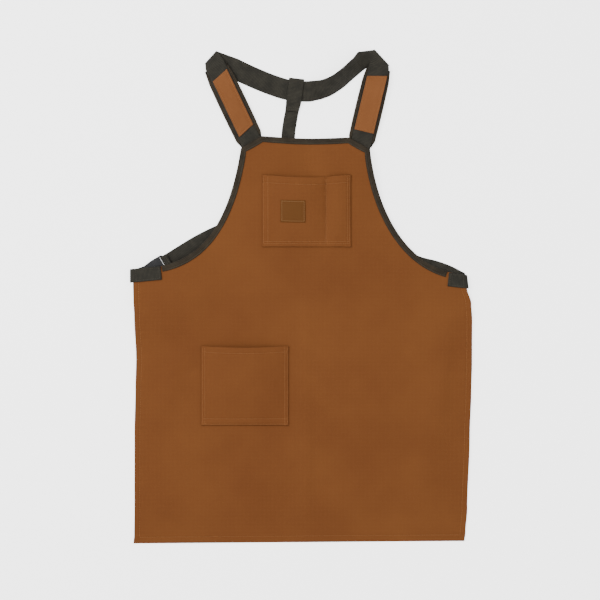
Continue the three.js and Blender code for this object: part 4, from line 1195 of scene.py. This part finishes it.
# A point on a webbing's upper face, by its distance along and its share of the width
def onWebbing(top, along, at, share):
    row = min(int(np.searchsorted(along, at)), len(along) - 1)
    before = max(row - 1, 0)
    span = max(along[row] - along[before], 1e-9)
    column = math.acos(1 - 2 * share) / math.pi * (top.shape[1] - 1)
    low = min(int(column), top.shape[1] - 2)
    edge = [mix(top[i, low], top[i, low + 1], column - low) for i in (before, row)]
    return mix(edge[0], edge[1], min(max((at - along[before]) / span, 0), 1)) + up * 0.05


def webbingLine(top, along, start, end):
    return [onWebbing(top, along, mix(start[0], end[0], t), mix(start[1], end[1], t))
            for t in np.linspace(0, 1, 24)]


def boxOn(top, along, low, high):
    inset = 0.1
    corners = [(low, inset), (high, inset), (high, 1 - inset), (low, 1 - inset), (low, inset)]
    return [webbingLine(top, along, a, b) for a, b in zip(corners, corners[1:])]


print("stitches")
threadLift = {"canvas": 0.12, "tape": 0.08, "groove": -0.25, "label": -0.2}
tanLines = []
hemColumn = int(np.argmin(np.abs(columnShares * apron["panelWidth"] - stitchIn["side"])))
for column in (hemColumn, len(columnShares) - 1 - hemColumn):
    tanLines.append(upper[10:waistRow - 1, column] + up * threadLift["canvas"])
hemX = np.linspace(hemLeft[0] + 4, hemRight[0] - 4, 300)
hemY = np.interp(hemX, [hemLeft[0], hemRight[0]], [hemLeft[1], hemRight[1]]) + stitchIn["bottom"]
tanLines.append(np.stack([hemX, hemY, clothHeight(hemX, hemY) + threadLift["groove"]], axis=1))
for pocket in (toolPocket, bibPocket):
    tanLines += [onPocket(pocket, line) for line in pocketLines(pocket)]
for share in (penSeam - division["line"], penSeam + division["line"]):
    tanLines.append(onPocket(bibPocket, [(share, division["from"]), (share, division["to"])]) - up * 0.3)
for side in padShapes:
    rim = insertTop[side] + up * threadLift["canvas"]
    tanLines += [rim[3:-3, 3], rim[3:-3, -4], rim[3, 3:-3], rim[-4, 3:-3]]
tanStitches = stitches("canvas_stitching", tanLines, finish["thread"])
low = label["stitchedAt"]
right, foot = label["width"] - low, label["height"] - low
labelCorners = [(label["fromLeft"] + x, label["fromTop"] + y)
                for x, y in ((low, low), (right, low), (right, foot), (low, foot), (low, low))]
labelLines = []
for (x0, y0), (x1, y1) in zip(labelCorners, labelCorners[1:]):
    x, y = np.linspace(x0, x1, 20), np.linspace(y0, y1, 20)
    labelLines.append(bibPocket["surface"](x / bibPocket["width"], y / bibPocket["height"])
                      + up * (canvas + label["lift"] + label["thickness"] + threadLift["label"]))
labelStitches = stitches("label_stitching", labelLines, finish["paleThread"])
darkLines = [outer[clear:-clear, 2] + up * threadLift["tape"]
             for outer, clear in [(bindingOuter, 4), *((tapeOuter, 2) for tapeOuter in padTapeOuter.values())]]
tabBox = (3, 5)  # how far a tab's box of stitches stays from its end and from the panel's edge
waistLong = waistAlong[-1]
darkLines += boxOn(tabTop, tabAlong, tabBox[0], apron["tabOverlap"]["left"] - tabBox[1])
darkLines += boxOn(waistTop, waistAlong, waistLong - apron["tabOverlap"]["right"] + tabBox[1], waistLong - tabBox[0])
for top, along, places in ((centreTop, centreAlong, (3.0, 7.0)), (waistTop, waistAlong, (3.0, 6.0))):
    darkLines += [webbingLine(top, along, (at, 0.1), (at, 0.9)) for at in places]
darkStitches = stitches("webbing_stitching", darkLines, finish["darkThread"])


cameraOver = point(-0.9, 456.8, 3500)
lamps = {"key light": {"at": (-1.9, 1.0, 2.1), "size": 1.3, "watts": 78},
         "fill light": {"at": (1.8, -0.4, 2.4), "size": 2.4, "watts": 22},
         "top light": {"at": (0, -0.2, 3.2), "size": 3.0, "watts": 44}}
floorGlow, skyStrength = 2.2, 0.85


def stage():
    bpy.ops.mesh.primitive_plane_add(size=6, location=(0, 0, -0.0005))
    floor = bpy.context.object
    floor.name = "pale_floor"
    paper = plainFinish("white paper sweep", "#f6f6f6", 0.9, 1.45, 0.5)
    glow = paper.node_tree.nodes["Principled BSDF"].inputs  # lit through from below, as on a light table
    glow["Emission Color"].default_value, glow["Emission Strength"].default_value = colour("#ffffff"), floorGlow
    floor.data.materials.append(paper)
    for name, lamp in lamps.items():
        data = bpy.data.lights.new(name, "AREA")
        data.energy, data.size = lamp["watts"], lamp["size"]
        light = bpy.data.objects.new(name, data)
        light.location = lamp["at"]
        light.rotation_euler = (Vector((0, 0, 0)) - Vector(lamp["at"])).to_track_quat("-Z", "Y").to_euler()
        bpy.context.scene.collection.objects.link(light)
    world = bpy.data.worlds.new("studio")
    world.use_nodes = True
    world.node_tree.nodes["Background"].inputs["Color"].default_value = colour("#ffffff")
    world.node_tree.nodes["Background"].inputs["Strength"].default_value = skyStrength
    bpy.context.scene.world = world
    camera = bpy.data.cameras.new("camera")
    camera.sensor_width, camera.lens = 36, 111.7
    view = bpy.data.objects.new("camera", camera)
    view.location = tuple((cameraOver + toFrame) * mm)
    bpy.context.scene.collection.objects.link(view)
    bpy.context.scene.camera = view


stage()
print("done")
